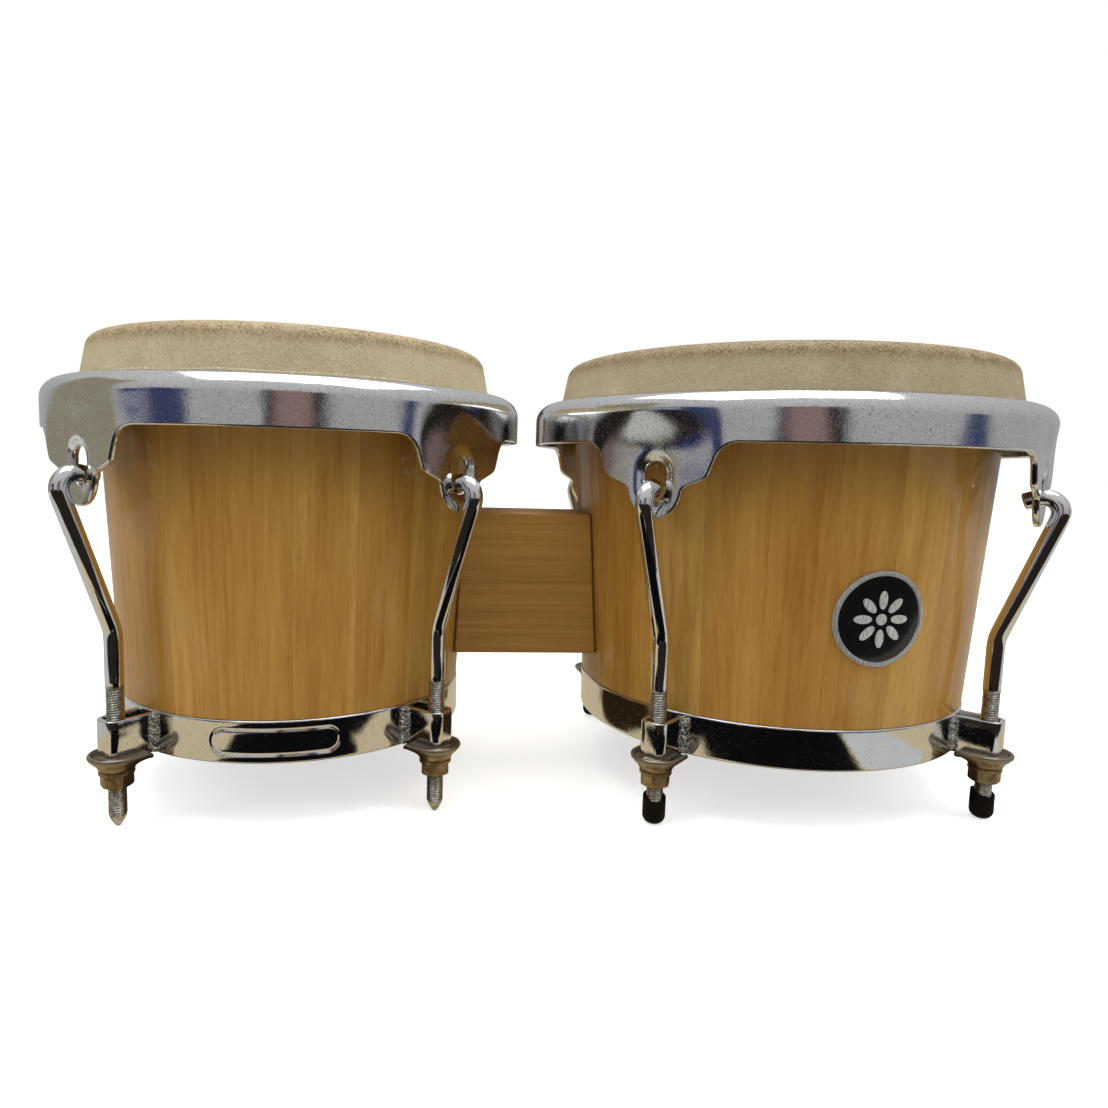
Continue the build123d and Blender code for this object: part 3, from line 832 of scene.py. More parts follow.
def inside(points, loop):
    """Whether each 2-D point is inside a closed loop."""
    a, b = loop, np.roll(loop, -1, axis=0)
    x, y = points[:, :1], points[:, 1:]
    crosses = (a[:, 1] > y) != (b[:, 1] > y)
    with np.errstate(divide="ignore", invalid="ignore"):
        at = a[:, 0] + (y - a[:, 1]) / (b[:, 1] - a[:, 1]) * (b[:, 0] - a[:, 0])
    return (crosses & (x < at)).sum(1) % 2 == 1


def distance_to(points, loop):
    a, b = loop, np.roll(loop, -1, axis=0)
    d = b - a
    length = np.maximum((d**2).sum(1), 1e-12)
    t = np.clip(((points[:, None] - a) * d).sum(2) / length, 0, 1)
    return np.linalg.norm(points[:, None] - (a + t[..., None] * d), axis=2).min(1)


def hoop_quarter(drum, step, edge):
    """A quarter of the hoop's outer surface around one ear: 2-D points (along, down) and triangles."""
    flange, arc = hoop_section_lengths(drum)
    reach = math.pi / 4

    def to_flat(outline):
        """Sideways and z to the flattened sheet's own coordinates, both in millimetres."""
        down = flange + arc + (drum.hoop_top_z - SHOULDER - outline[:, 1])
        along = np.arcsin(np.clip(outline[:, 0] / drum.hoop, -1, 1))
        for _ in range(6):
            at = hoop_surface(drum, along, down)
            radius = np.hypot(at[:, 0] - drum.x, at[:, 1])
            along = np.arcsin(np.clip(outline[:, 0] / radius, -1, 1))
        return pairs(along * drum.hoop, down)

    half = ear_half_outline(drum)
    right = to_flat(half)
    left = right[::-1][1:] * (-1, 1)
    band = right[0, 1]
    side = reach * drum.hoop
    lower = np.concatenate((right, left))
    lower = divided(lower, step * 0.8, closed=False)
    edge_in = inset(np.concatenate(([[side + 5, band]], lower, [[-side - 5, band]])), edge)[1:-1]
    across = np.linspace(side, edge_in[0, 0], max(2, math.ceil((side - edge_in[0, 0]) / step)))[:-1]
    bottom = np.concatenate((pairs(across, band - edge), edge_in, pairs(-across[::-1], band - edge)))
    rise = np.linspace(band - edge, edge, math.ceil((band - 2 * edge) / step) + 1)[1:]
    top = np.linspace(-side, side, math.ceil(2 * side / step) + 1)[1:]
    boundary = np.concatenate((bottom, pairs(-side, rise), pairs(top, edge), pairs(side, rise)[::-1][1:]))
    t = turns(44)
    straight = (SLOT_TOP_Z - SLOT_BOTTOM_Z - SLOT_WIDTH) / 2
    slot = pairs(
        (SLOT_WIDTH / 2) * np.cos(t),
        (SLOT_TOP_Z + SLOT_BOTTOM_Z) / 2 + (SLOT_WIDTH / 2) * np.sin(t) + straight * np.sign(np.sin(t)),
    )
    slot = to_flat(divided(slot, step * 0.8))
    slot = inset(slot, edge) if signed_area(slot) < 0 else inset(slot, -edge)
    loops = [boundary, slot]
    ring_x, ring_y = np.meshgrid(np.arange(-side, side, step), np.arange(0, boundary[:, 1].max(), step * 0.9))
    ring_x[1::2] += step / 2
    inner = np.stack((ring_x.ravel(), ring_y.ravel()), -1)
    inner = inner[inside(inner, boundary) & ~inside(inner, slot)]
    away = np.minimum(distance_to(inner, boundary), distance_to(inner, slot))
    inner = inner[away > step * 0.55]
    points = np.concatenate(loops + [inner])
    edges, start = [], 0
    for loop in loops:
        n = len(loop)
        edges += [(start + i, start + (i + 1) % n) for i in range(n)]
        start += n
    result = delaunay_2d_cdt([Vector(p) for p in points.tolist()], edges, [], 0, 1e-6)
    found = np.array([tuple(v) for v in result[0]])
    triangles = np.array([f for f in result[2]])
    middles = found[triangles].mean(1)
    keep = inside(middles, boundary) & ~inside(middles, slot)
    return found, triangles[keep]


def signed_area(loop):
    x, y = loop[:, 0], loop[:, 1]
    return 0.5 * np.sum(x * np.roll(y, -1) - np.roll(x, -1) * y)


def thick_sheet(name, points, normals, triangles, thickness, edge, material, body, replaces):
    """A closed sheet-metal mesh from its outer surface, its edges rounded, with true surface normals."""
    sides = np.concatenate([triangles[:, [a, b]] for a, b in ((0, 1), (1, 2), (2, 0))])
    known = set(map(tuple, sides.tolist()))
    rim = np.array([e for e in sides.tolist() if (e[1], e[0]) not in known])
    rim_points = np.unique(rim)
    index = {v: i for i, v in enumerate(rim_points.tolist())}
    out = np.zeros((len(rim_points), 3))
    for a, b in rim.tolist():
        way = np.cross(points[b] - points[a], normals[a])
        way /= np.linalg.norm(way) + 1e-12
        out[index[a]] += way
        out[index[b]] += way
    out /= np.linalg.norm(out, axis=1)[:, None] + 1e-12
    base, n = points[rim_points], normals[rim_points]
    rows, row_normals = [], []
    quarter = np.linspace(0, math.pi / 2, 5)
    for t in quarter[1:]:
        rows.append(base + out * edge * math.sin(t) - n * edge * (1 - math.cos(t)))
        row_normals.append(n * math.cos(t) + out * math.sin(t))
    for t in quarter[::-1][:-1]:
        rows.append(base + out * edge * math.sin(t) - n * (thickness - edge * (1 - math.cos(t))))
        row_normals.append(-n * math.cos(t) + out * math.sin(t))
    total = len(points)
    everything = [points, points - normals * thickness] + rows
    all_normals = np.concatenate([normals, -normals] + row_normals)
    faces = triangles.tolist() + (triangles[:, ::-1] + total).tolist()
    count = len(rim_points)
    steps = [rim_points] + [2 * total + k * count + np.arange(count) for k in range(len(rows))]
    steps.append(rim_points + total)
    for first, second in zip(steps, steps[1:]):
        for a, b in rim.tolist():
            i, j = index[a], index[b]
            faces.append([int(first[j]), int(first[i]), int(second[i]), int(second[j])])
    mesh = bpy.data.meshes.new(name)
    mesh.from_pydata((np.concatenate(everything) * MM).tolist(), [], faces)
    mesh.shade_smooth()
    mesh.normals_split_custom_set_from_vertices(all_normals.tolist())
    return place_piece(name, mesh, material, body, replaces)


def hoop(drum):
    """The pressed hoop, its four slotted ears flattened out of the band."""
    edge = 0.85
    flat, triangles = hoop_quarter(drum, 1.45, edge)
    points, normals, faces, offset = [], [], [], 0
    small = 0.02
    for angle in drum.angles:
        along, down = flat[:, 0] / drum.hoop, flat[:, 1]
        at = hoop_surface(drum, along, down)
        by_angle = hoop_surface(drum, along + small / drum.hoop, down)
        by_angle = by_angle - hoop_surface(drum, along - small / drum.hoop, down)
        by_drop = hoop_surface(drum, along, down + small) - hoop_surface(drum, along, down - small)
        normal = np.cross(by_drop, by_angle)
        normal /= np.linalg.norm(normal, axis=1)[:, None]
        c, s = math.cos(angle), math.sin(angle)
        turn = np.array(((c, -s, 0), (s, c, 0), (0, 0, 1)))
        centre = np.array((drum.x, 0, 0))
        points.append((at - centre) @ turn.T + centre)
        normals.append(normal @ turn.T)
        faces.append(triangles + offset)
        offset += len(flat)
    points, normals, faces = np.concatenate(points), np.concatenate(normals), np.concatenate(faces)
    _, first, same = np.unique(np.round(points, 4), axis=0, return_index=True, return_inverse=True)
    same = same.ravel()
    points, normals, faces = points[first], normals[first], same[faces]
    a, b, c = (points[faces[:, k]] for k in range(3))
    wrong = (np.cross(b - a, c - a) * normals[faces[:, 0]]).sum(1) < 0
    faces[wrong] = faces[wrong][:, ::-1]
    thick_sheet(
        f"{drum.name}_pressed_hoop", points, normals, faces, SHEET, edge, HOOP_CHROME,
        drum.hoop_set, [f"{drum.name}_hoop"],
    )


# ---------------------------------------------------------------- rings, brackets and seats

def foot_ring(drum):
    """The flat steel band round the shell's foot, the small drum's with a pressed stadium outline."""
    outline = rounded(
        [
            (drum.ring - RING_THICKNESS, drum.ring_bottom_z),
            (drum.ring, drum.ring_bottom_z),
            (drum.ring, drum.ring_top_z),
            (drum.ring - RING_THICKNESS, drum.ring_top_z),
        ],
        [0.5, 0.75, 0.75, 0.5],
        steps=4,
    )
    outline = divided(outline, 0.42)
    angle = turns(240)
    if drum is macho:
        half = (PANEL_WIDTH / 2 + PANEL_MARGIN) / drum.ring
        panel = PANEL_TURN + np.linspace(-half, half, 226)
        rest = PANEL_TURN + np.linspace(half, TAU - half, 200)[1:-1]
        angle = np.concatenate((panel, rest))
    r = np.broadcast_to(outline[:, :1], (len(outline), len(angle))).copy()
    z = outline[:, 1:2]
    if drum is macho:
        across = ((angle - PANEL_TURN + math.pi) % TAU - math.pi) * drum.ring
        up = z - (drum.ring_bottom_z + drum.ring_top_z) / 2
        radius = PANEL_HEIGHT / 2 - PANEL_LINE
        reach = PANEL_WIDTH / 2 - PANEL_LINE - radius
        beyond = np.hypot(np.maximum(np.abs(across)[None, :] - reach, 0), up) - radius
        line = np.exp(-((beyond / 0.55) ** 2))
        pan = 0.16 * (1 - smoothstep(-0.9, -0.2, beyond))
        face = outline[:, :1] > drum.ring - 0.01
        r = r - np.where(face, 0.42 * line + pan, 0)
    builder = Builder()
    builder.grid(drum.place(r, angle[None, :], z), wrap_rows=True)
    replaced = [f"{drum.name}_foot_ring"]
    builder.make(f"{drum.name}_band", RING_CHROME, "shells", replaced, sharp=40.0)


def brackets(drum):
    """Strap loops bent round each hook and welded to the ring."""
    low, high = drum.box("hook_brackets")
    half_width, end = BRACKET_HALF_WIDTH, ROD + BRACKET_ROOM + STRAP
    back = drum.ring - drum.lug - 0.35
    middle = STRAP / 2
    route = rounded(
        [
            (back, -half_width + middle),
            (end - middle, -half_width + middle),
            (end - middle, half_width - middle),
            (back, half_width - middle),
        ],
        [0, BRACKET_CORNER - middle, BRACKET_CORNER - middle, 0],
        closed=False,
        steps=9,
    )
    normal = turned_right(tangents(route))
    section = rounded(
        [(-middle, low[2]), (middle, low[2]), (middle, high[2]), (-middle, high[2])],
        [0.5] * 4,
        steps=4,
    )
    builder = Builder()
    for angle in drum.angles:
        plan = route[:, None, :] + normal[:, None, :] * section[None, :, :1]
        builder.closed_tube(drum.beside_stem(angle, plan[..., 0], plan[..., 1], section[None, :, 1]))
    replaced = [f"{drum.name}_hook_brackets"]
    builder.make(f"{drum.name}_straps", RING_CHROME, "shells", replaced, sharp=40.0)


def weld_beads(drum):
    """Rough weld beads where each strap's legs meet the ring."""
    low, high = drum.box("hook_brackets")
    random = np.random.default_rng(77 + drum.staves)
    share, turn = np.linspace(0, 1, 64)[:, None], turns(20)[None, :]
    z = low[2] + 0.3 + (high[2] - low[2] - 0.6) * share
    closing = np.sqrt(np.maximum(0.0, 1 - (2 * share - 1) ** 14))
    builder = Builder()
    for angle in drum.angles:
        out, along = drum.outward(angle), drum.outward(angle + math.pi / 2)
        for side in (-1, 1):
            lumps = np.zeros((64, 20))
            for _ in range(10):
                drift, lobes = random.uniform(12, 70), random.integers(1, 6)
                height, phase = random.uniform(0.4, 1.0), random.uniform(0, TAU)
                lumps += height * np.sin(drift * share + lobes * turn + phase)
            size = (1.65 + 0.11 * lumps) * (0.12 + 0.88 * closing)
            shift = 0.25 * np.sin(13 * share[:, 0] + random.uniform(0, TAU))
            at = angle + side * (BRACKET_HALF_WIDTH + 0.6) / drum.ring + shift / drum.ring
            centre = drum.place(drum.ring + 0.3, at, z[:, 0])[:, None]
            rows = centre + (size * np.cos(turn))[..., None] * out * 0.95
            rows = rows + (size * 1.1 * np.sin(turn))[..., None] * along
            builder.closed_tube(rows)
    builder.make(f"{drum.name}_weld_beads", WELD, "shells", sharp=70.0)


def seats(drum):
    """Pressed trays under the brackets: a rolled lip outside, open to the ring, and a funnel to the nut."""
    low, _ = drum.box("hook_seats")
    foot, floor_z = low[2], drum.foot_z - 0.06
    angle = turns(120)
    long_side = np.where(np.cos(angle) < 0, SEAT_REACH, SEAT_RADIUS)
    power = np.where(np.cos(angle) < 0, 6.0, 2.0)
    reach = (np.abs(np.cos(angle)) / long_side) ** power + (np.abs(np.sin(angle)) / SEAT_RADIUS) ** power
    reach = reach ** (-1 / power)
    away = np.abs((angle + math.pi) % TAU - math.pi)
    lip = 1 - smoothstep(math.radians(126), math.radians(140), away)
    rows, heights = [], []

    def ring(radius, z):
        rows.append(np.broadcast_to(radius, angle.shape))
        heights.append(np.broadcast_to(z, angle.shape))

    for radius, rise in ((3.95, 0.35), (4.25, 0.0), (6.25, 0.0), (6.68, 0.35)):
        ring(radius, foot + rise)
    for share, rise in ((0.06, 1.0), (0.24, 1.9), (0.52, 2.8), (0.80, 3.5)):
        ring(6.75 + share * (reach - 7.0), foot + rise)
    lip_line = [
        (-0.35, -0.30), (0.22, 0.25), (0.5, 0.85), (0.45, 1.45), (0.15, 1.9),
        (-0.35, 2.05), (-0.85, 1.8), (-1.15, 1.15), (-1.35, 0.4), (-1.8, 0.0),
    ]
    edge_line = [
        (-0.55, -1.1), (-0.25, -1.0), (-0.08, -0.8), (0.0, -0.55), (-0.05, -0.3),
        (-0.18, -0.1), (-0.42, -0.02), (-0.8, 0.0), (-1.2, 0.0), (-1.8, 0.0),
    ]
    for (out_lip, up_lip), (out_edge, up_edge) in zip(lip_line, edge_line):
        ring(reach + out_lip * lip + out_edge * (1 - lip), floor_z + up_lip * lip + up_edge * (1 - lip))
    for radius, z in ((6.0, floor_z), (4.25, floor_z), (3.95, floor_z - 0.3)):
        ring(radius, z)
    rows, heights = np.stack(rows), np.stack(heights)
    grey = np.concatenate((np.zeros(7), [0.4], np.ones(len(lip_line)), np.full(3, 0.7)))
    builder = Builder()
    for lug in drum.angles:
        points = drum.beside_stem(lug, rows * np.cos(angle), rows * np.sin(angle), heights)
        builder.grid(points, wrap_rows=True, value=grey[:, None])
    replaced = [f"{drum.name}_hook_seats"]
    builder.make(f"{drum.name}_seats", NICKEL, "shells", replaced, sharp=50.0)


# ---------------------------------------------------------------- hooks, nuts and caps

def hook_route(drum, end_z):
    """The hook's centreline as (distance from the drum's axis, z), its tangents, and its stem's row count."""
    droop = math.tan(HOOK_DROOP)
    ear_middle = drum.ear_face - SHEET / 2
    apex, tip = drum.ear_face + HOOK_APEX_OUT, drum.ear_face - HOOK_TIP_IN
    bends = rounded(
        [
            (drum.lug, THREAD_TOP_Z),
            (drum.lug, KNEE_Z),
            (apex, HOOK_Z + (apex - ear_middle) * droop),
            (tip, HOOK_Z + (tip - ear_middle) * droop),
        ],
        [0, KNEE_BEND, HOOK_BEND, 0],
        closed=False,
        steps=18,
    )
    upper = eased(divided(bends, 0.5, closed=False), 5)[1::2]
    stem_z = np.arange(end_z, THREAD_TOP_Z, 1 / 7)
    stem = pairs(drum.lug, stem_z)
    route = np.concatenate((stem, upper))
    tangent = tangents(route)
    tangent[: len(stem)] = (0, 1)
    return route, tangent, len(stem)


def thread_radius(z, turn, end_z, pointed):
    """Radius of the rolled thread at a height and turn, with its crests and its run-out."""
    pitch, root, crest = 1.0, 2.98, 3.43
    phase = (z / pitch - turn / TAU) % 1.0
    ridge = 1 - np.abs(2 * phase - 1)
    ridge = smoothstep(0.06, 0.94, ridge)
    fade = 1 - smoothstep(THREAD_TOP_Z - 2.2, THREAD_TOP_Z - 0.4, z)
    body = crest - (crest - root) * (1 - ridge) * fade
    body = body + (ROD - 0.01 - crest) * (1 - fade)
    if pointed:
        share = np.clip((z - end_z) / 6.0, 0, 1)
        bullet = 0.75 + 2.7 * np.sin(share * math.pi / 2) ** 0.9
        return np.minimum(body, bullet)
    return np.minimum(body, 2.9 + np.clip(z - end_z, 0, 1))


def hooks(drum, pointed):
    """Bent tuning hooks with a real rolled thread on their lower stems."""
    low, _ = drum.box("hooks")
    end_z = low[2]
    route, tangent, stem_rows = hook_route(drum, end_z)
    turn = turns(28)
    radius = np.full((len(route), len(turn)), ROD - 0.01)
    z = route[:stem_rows, 1][:, None]
    radius[:stem_rows] = thread_radius(z, turn[None, :], end_z, pointed)
    worn = np.zeros(len(route))
    worn[:stem_rows] = 1 - smoothstep(THREAD_TOP_Z - 1.2, THREAD_TOP_Z + 0.5, route[:stem_rows, 1])
    builder = Builder()
    for angle in drum.angles:
        out = drum.outward(angle)
        side = np.cross(out, UP)
        centre = np.array((drum.x, 0, 0)) + route[:, :1] * out + route[:, 1:] * UP
        along = tangent[:, :1] * out + tangent[:, 1:] * UP
        across = np.cross(side, along)
        ring = np.cos(turn)[None, :, None] * across[:, None, :] + np.sin(turn)[None, :, None] * side
        points = centre[:, None, :] + radius[..., None] * ring
        chamfer = centre[-1] + 0.88 * radius[-1][:, None] * ring[-1] + 0.35 * along[-1]
        points = np.concatenate((points, chamfer[None]))
        builder.closed_tube(points, np.append(worn, 0.0)[:, None])
    replaced = [f"{drum.name}_hooks"]
    builder.make(f"{drum.name}_bent_hooks", HOOK_CHROME, drum.hoop_set, replaced, sharp=50.0)


def nut(drum, lug, angle, turned):
    """A hexagon nut with a round collar. Each of its levels says whether it follows the flats."""
    node = f"{drum.name}_nut_{lug}"
    low, high = box_mm(node)
    top, bottom = high[2], low[2]
    apothem, collar = 5.5, 6.55
    corners = np.arange(6) * TAU / 6
    offsets = [-0.05, 0.05] + [k * TAU / 48 for k in range(1, 8)]
    turn = np.sort(np.concatenate([corners + offset for offset in offsets]))
    hexagon = apothem / np.cos((turn % (TAU / 6)) - TAU / 12)
    hexagon = np.minimum(hexagon, apothem / math.cos(TAU / 12) - 0.12)
    levels = [
        (ROD + 0.08, top - 0.4, 0), (ROD + 0.42, top, 0), (collar - 0.35, top, 0), (collar, top - 0.35, 0),
        (collar, top - 1.45, 0), (collar - 0.35, top - 1.8, 0), (6.12, top - 1.82, 1), (9, top - 2.05, 1),
        (9, bottom + 1.15, 1), (6.1, bottom + 0.62, 1), (5.75, bottom + 0.3, 1), (5.25, bottom, 1),
        (ROD + 0.5, bottom, 0), (ROD + 0.08, bottom + 0.45, 0),
    ]
    rows = []
    turn = turn + turned
    for size, z, flats in levels:
        rows.append(around(np.minimum(hexagon, size) if flats else size, turn, z))
    stem = drum.place(drum.lug, angle, 0.0)
    builder = Builder()
    builder.grid(stem + np.stack(rows), wrap_rows=True)
    builder.make(f"{node}_hex", NICKEL, node, [node], sharp=28.0)


def caps(drum):
    """Rubber caps with domed bottoms, their top edges torn and slanting on the front."""
    low, high = drum.box("hook_caps")
    radius, dome, bore, bore_end = 4.7, 3.6, 3.56, 1.52
    angle = turns(72)
    builder = Builder()
    for index, lug in enumerate(drum.angles):
        tear = 1.2 + 1.9 * (0.5 - 0.5 * np.sin(angle - 0.35 * (index - 2))) ** 1.5
        tear = tear + 0.45 * waves(angle, 50 + index, 6, 3, 17)
        tear = np.clip(tear, 0.05, 4.2)
        swell = 1 + 0.012 * waves(angle, 60 + index, 4, 2, 6)
        stem = drum.place(drum.lug, lug, 0.0)
        top = high[2] - low[2] - tear
        crown = radius - dome
        rows = [(crown * t, 0.0) for t in (0.02, 0.6)]
        for t in np.linspace(0, math.pi / 2, 9):
            rows.append((crown + dome * math.sin(t), dome - dome * math.cos(t)))
        rows += [(radius * swell, dome + (top - dome - 0.3) * t) for t in (0.35, 0.7, 1.0)]
        rows += [((radius - 0.3) * swell, top), (bore + 0.29, top - 0.05), (bore, top - 0.3)]
        rows += [(bore, 2.0), (3.1, bore_end), (0.02, bore_end)]
        builder.closed_tube(stem + np.stack([around(r, angle, low[2] + z) for r, z in rows]))
    replaced = [f"{drum.name}_hook_caps"]
    builder.make(f"{drum.name}_rubber_caps", RUBBER, drum.hoop_set, replaced, sharp=50.0)


# ---------------------------------------------------------------- badge

def on_shell(sideways, up, lift):
    """Points on the large drum's side around the badge's middle, lifted off the wood."""
    low, high = box_mm("badge_rim")
    z = (low[2] + high[2]) / 2 + up
    radius = hembra.shell_radius(z)
    return hembra.place(radius + lift, BADGE_TURN + np.arcsin(np.clip(sideways / radius, -1, 1)), z)


def badge_ring(profile, columns=144):
    """A round badge part from (distance from its middle, lift off the wood) pairs."""
    angle = turns(columns)
    rows = [on_shell(r * np.cos(angle), r * np.sin(angle), lift) for r, lift in profile]
    return np.stack(rows)


def badge():
    builder = Builder()
    rim = [
        (17.05, 0.12), (17.05, 0.98), (17.25, 1.28), (17.55, 1.38),
        (18.3, 1.38), (18.7, 1.24), (18.93, 0.92), (BADGE_RADIUS, 0.12),
    ]
    builder.grid(badge_ring(rim), wrap_rows=True)
    builder.make("badge_bezel", BADGE_METAL, "shells", ["badge_rim"], sharp=40.0)
    builder = Builder()
    disc = [(r, 0.88) for r in (0.03, 4, 8, 12, 16)] + [(16.9, 0.82)]
    disc += [(r, 0.1) for r in (16.95, 8, 0.03)]
    points = badge_ring(disc, 96)
    builder.closed_tube(points)
    builder.make("badge_face", BADGE_BLACK, "shells", ["badge_disc"], sharp=40.0)
    builder = Builder()
    for k in range(9):
        turn = k * TAU / 8
        if k == 8:
            centre, length, width = (0.0, 0.0), 2.2, 2.2
        else:
            centre, length, width = (7.6 * math.cos(turn), 7.6 * math.sin(turn)), 3.6, 1.7
        t = turns(40)
        rows = []
        for scale, lift in ((0.02, 0.92), (1.0, 0.92), (1.0, 1.14), (0.95, 1.23), (0.86, 1.25), (0.02, 1.25)):
            a, b = length * scale * np.cos(t), width * scale * np.sin(t)
            x = centre[0] + a * math.cos(turn) - b * math.sin(turn)
            y = centre[1] + a * math.sin(turn) + b * math.cos(turn)
            rows.append(on_shell(x, y, lift))
        rows = np.stack(rows)
        builder.closed_tube(rows)
    builder.make("badge_rosette", EMBLEM, "shells", ["badge_emblem"], sharp=40.0)


# ---------------------------------------------------------------- the object

for drum in DRUMS:
    shell(drum)
    hide_head(drum)
    hide_lap(drum)
    hoop(drum)
    foot_ring(drum)
    brackets(drum)
    weld_beads(drum)
    seats(drum)
    for index, (lug, angle) in enumerate(zip(LUGS, drum.angles)):
        nut(drum, lug, angle, 0.35 + 0.41 * index)
hide_edge(macho, 2.0)
hide_edge(hembra, 0.7)
hooks(macho, True)
hooks(hembra, False)
caps(hembra)
block()
badge()

PLAIN = {
    "macho_flesh_ring": STEEL,
    "hembra_flesh_ring": STEEL,
    "block_bolts": STEEL,
    "block_washers": STEEL,
    "block_inserts": BRASS,
}
for node, material in PLAIN.items():
    mesh = frame["nodes"][node].data
    mesh.materials.clear()
    mesh.materials.append(material)


# ---------------------------------------------------------------- floor, light and camera

def staged(name, corners, material):
    mesh = bpy.data.meshes.new(name)
    mesh.from_pydata(corners, [], [list(range(len(corners)))])
    mesh.materials.append(material)
    thing = add_object(name, mesh)
    return thing


def floor():
    """A pale floor, lifted to white where the camera sees it, so that it runs into the backdrop."""
    s = Shader("floor", Roughness=0.9, Specular_IOR_Level=0.1)
    grain = s.noise(s.coords, 3.0, 2.0)
    pale = s.ramp(grain, [(0.3, (0.84, 0.835, 0.82, 1)), (0.7, (0.86, 0.855, 0.84, 1))])
    seen = s.node("ShaderNodeLightPath").outputs["Is Camera Ray"]
    s.link(s.mix_colour(seen, (0.46, 0.45, 0.43, 1.0), pale), "Base Color")
    s.set(Emission_Color=(1, 1, 1, 1))
    s.link(s.times(seen, 0.62), "Emission Strength")
    size, z = 30.0, -0.0002
    staged("floor", [(-size, -size, z), (size, -size, z), (size, size, z), (-size, size, z)], s.material)


def glow(name, colour, strength):
    material = bpy.data.materials.new(name)
    material.use_nodes = True
    tree = material.node_tree
    tree.nodes.clear()
    light = tree.nodes.new("ShaderNodeEmission")
    light.inputs["Color"].default_value = colour
    light.inputs["Strength"].default_value = strength
    out = tree.nodes.new("ShaderNodeOutputMaterial")
    tree.links.new(light.outputs[0], out.inputs["Surface"])
    return material


# Studio cards that only mirrors see: name, centre, width, height, screen colour, squareness, lies flat
CARDS = [
    ("card_navy_left", (-0.58, -0.50, 0.20), 0.22, 0.24, (60, 66, 100), 6, False),
    ("card_navy_right", (1.05, -0.62, 0.22), 0.20, 0.22, (60, 66, 100), 6, False),
    ("card_operator", (-0.02, -0.62, 0.22), 0.17, 0.28, (142, 118, 114), 3, False),
    ("card_operator_dark_left", (-0.125, -0.64, 0.20), 0.05, 0.34, (30, 28, 30), 4, False),
    ("card_operator_dark_right", (0.10, -0.64, 0.20), 0.07, 0.34, (30, 28, 30), 4, False),
    ("card_left_wall", (-1.3, 0.05, 0.5), 0.9, 1.1, (150, 143, 124), 20, False),
    ("card_brown_between", (0.0, 1.4, 0.2), 0.7, 0.5, (84, 60, 40), 20, False),
    ("card_bench", (0.0, 0.08, 0.0006), 1.6, 0.66, (196, 194, 188), 20, True),
    ("card_table", (0.02, 0.08, 0.001), 0.62, 0.64, (204, 188, 154), 20, True),
    ("card_navy_ear_low", (-0.58, -0.30, 0.095), 0.11, 0.06, (40, 46, 110), 20, False),
    ("card_navy_ear_high", (-0.58, -0.30, 0.215), 0.11, 0.05, (40, 46, 110), 20, False),
    ("card_pale", (0.205, -0.165, 0.002), 0.08, 0.14, (200, 201, 202), 20, True),
    ("card_room_floor", (0.0, -1.54, 0.0015), 3.2, 2.60, (40, 34, 30), 20, True),
    ("card_low_macho", (-0.104, -0.170, 0.003), 0.165, 0.130, (12, 12, 15), 6, True),
    ("card_low_hembra", (0.066, -0.185, 0.003), 0.185, 0.130, (12, 12, 15), 6, True),
    # Painted shadow: dark discs under the drums, standing in for the shade there where mirrors see the floor.
    ("card_shadow_under_macho", (macho.x * MM, 0, 0.004), 0.165, 0.165, (44, 30, 16), 2, True),
    ("card_shadow_under_hembra", (hembra.x * MM, 0, 0.004), 0.190, 0.190, (44, 30, 16), 2, True),
]


def card(name, centre, width, height, colour, squareness, flat):
    """A card that faces the middle of the object or lies flat, square-cornered or round."""
    centre = Vector(centre)
    if flat:
        side, up = Vector((1, 0, 0)), Vector((0, 1, 0))
    else:
        toward = (Vector((0, 0, centre.z)) - centre).normalized()
        side, up = toward.cross(Vector((0, 0, 1))).normalized(), Vector((0, 0, 1))
    corners = []
    for turn in turns(64):
        c, s = math.cos(turn), math.sin(turn)
        radius = (abs(c) ** squareness + abs(s) ** squareness) ** (-1 / squareness)
        corners.append(tuple(centre + side * (radius * c * width / 2) + up * (radius * s * height / 2)))
    thing = staged(name, corners, glow(name, linear(*colour), 1.0))
    thing.visible_camera = False
    thing.visible_diffuse = False
    thing.visible_shadow = False
    thing.visible_transmission = False


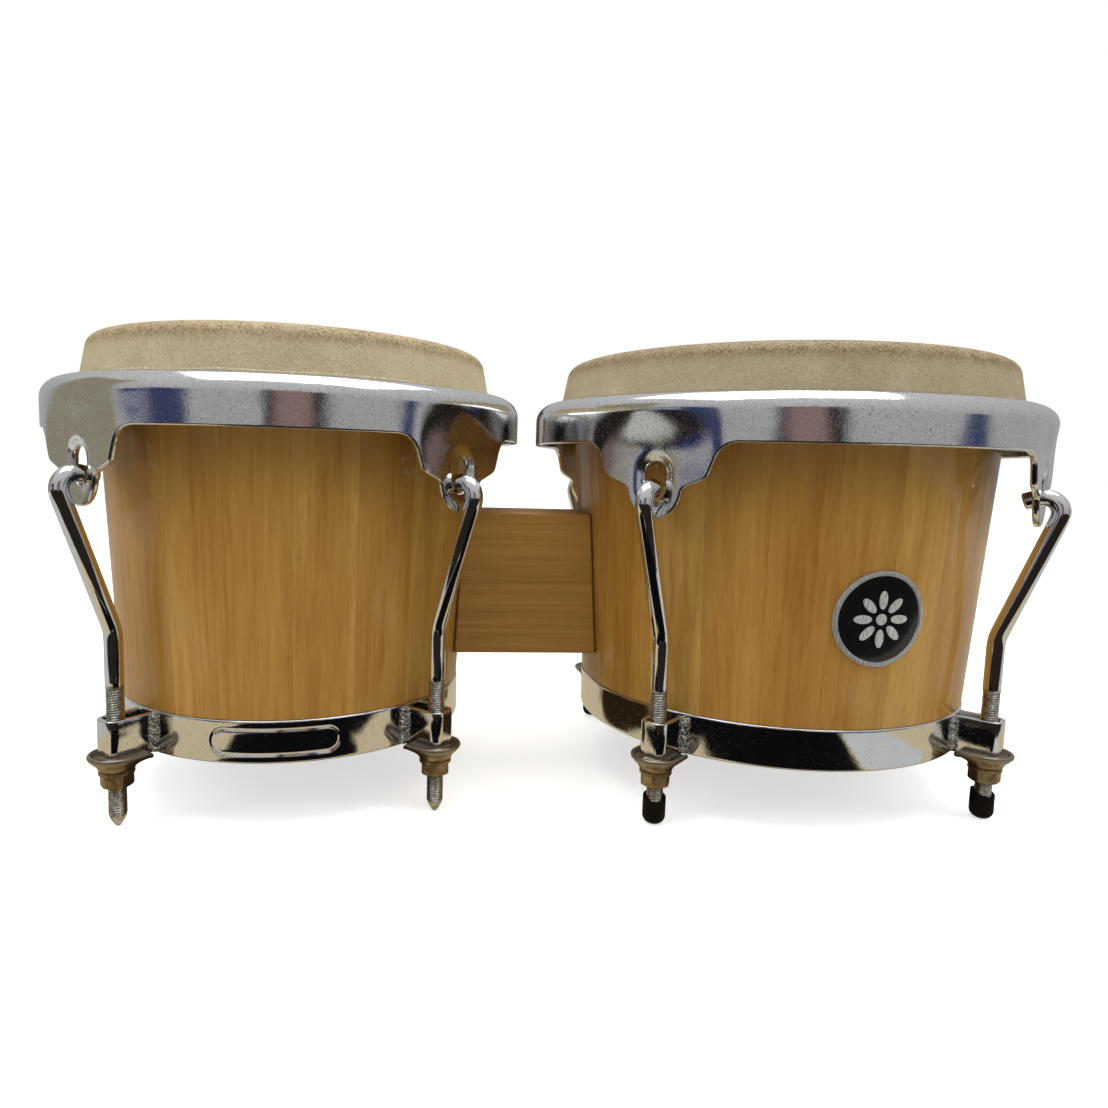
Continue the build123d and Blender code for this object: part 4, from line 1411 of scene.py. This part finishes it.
def sky():
    """A bright soft room: white to the camera, brightest overhead as a light, greyer in mirrors."""
    world = bpy.data.worlds.new("studio")
    bpy.context.scene.world = world
    world.use_nodes = True
    tree = world.node_tree
    tree.nodes.clear()
    coords = tree.nodes.new("ShaderNodeTexCoord")
    split = tree.nodes.new("ShaderNodeSeparateXYZ")
    tree.links.new(coords.outputs["Generated"], split.inputs[0])

    def backdrop(stops):
        ramp = tree.nodes.new("ShaderNodeValToRGB")
        tree.links.new(split.outputs["Z"], ramp.inputs["Fac"])
        set_stops(ramp, [(position, (grey, grey, grey, 1)) for position, grey in stops])
        background = tree.nodes.new("ShaderNodeBackground")
        tree.links.new(ramp.outputs["Color"], background.inputs["Color"])
        return background.outputs[0]

    def choose(ray, otherwise, chosen):
        mix = tree.nodes.new("ShaderNodeMixShader")
        tree.links.new(rays.outputs[ray], mix.inputs["Fac"])
        tree.links.new(otherwise, mix.inputs[1])
        tree.links.new(chosen, mix.inputs[2])
        return mix.outputs[0]

    rays = tree.nodes.new("ShaderNodeLightPath")
    mirrored = backdrop([(0.0, 0.40), (0.12, 0.43), (0.40, 0.50), (1.0, 0.66)])
    lighting = backdrop([(0.0, 0.07), (0.15, 0.12), (0.45, 0.58), (1.0, 1.05)])
    plain = backdrop([(0.0, 1.0), (1.0, 1.0)])
    out = tree.nodes.new("ShaderNodeOutputWorld")
    light = choose("Is Camera Ray", choose("Is Diffuse Ray", mirrored, lighting), plain)
    tree.links.new(light, out.inputs["Surface"])


def softbox(name, at, toward, size, power, mirrored):
    data = bpy.data.lights.new(name, "AREA")
    data.shape = "RECTANGLE"
    data.size, data.size_y = size
    data.energy = power
    lamp = add_object(name, data)
    lamp.location = at
    lamp.rotation_euler = (Vector(toward) - Vector(at)).to_track_quat("-Z", "Y").to_euler()
    lamp.visible_glossy = mirrored


def camera():
    """The photographer's place: close in front of the small drum's right side, a little above the hoops."""
    yaw, pitch, roll = 0.0959, -0.1034, 0.027
    right0 = Vector((math.cos(yaw), -math.sin(yaw), 0))
    ahead0 = Vector((math.sin(yaw), math.cos(yaw), 0))
    ahead = math.cos(pitch) * ahead0 + math.sin(pitch) * Vector((0, 0, 1))
    up0 = -math.sin(pitch) * ahead0 + math.cos(pitch) * Vector((0, 0, 1))
    x_axis = math.cos(roll) * right0 + math.sin(roll) * up0
    y_axis = math.cos(roll) * up0 - math.sin(roll) * right0
    data = bpy.data.cameras.new("camera")
    data.sensor_width = 36.0
    data.lens = 25.575
    data.shift_x, data.shift_y = 0.0289, -0.0028
    data.clip_start = 0.01
    eye = add_object("camera", data)
    basis = Matrix((x_axis, y_axis, -ahead)).transposed().to_4x4()
    eye.matrix_world = Matrix.Translation((-0.05147, -0.3760, 0.14306)) @ basis
    bpy.context.scene.camera = eye


floor()
sky()
for row in CARDS:
    card(*row)
softbox("top", (0.0, -0.05, 1.7), (0, 0, 0.1), (1.8, 1.4), 27.0, True)
softbox("window_left", (-1.5, -0.45, 0.8), (0, 0, 0.1), (0.9, 1.1), 7.0, False)
softbox("window_right", (1.5, -0.35, 0.75), (0.1, 0, 0.1), (0.9, 1.1), 7.0, False)
camera()
bpy.context.scene.view_settings.view_transform = "Standard"
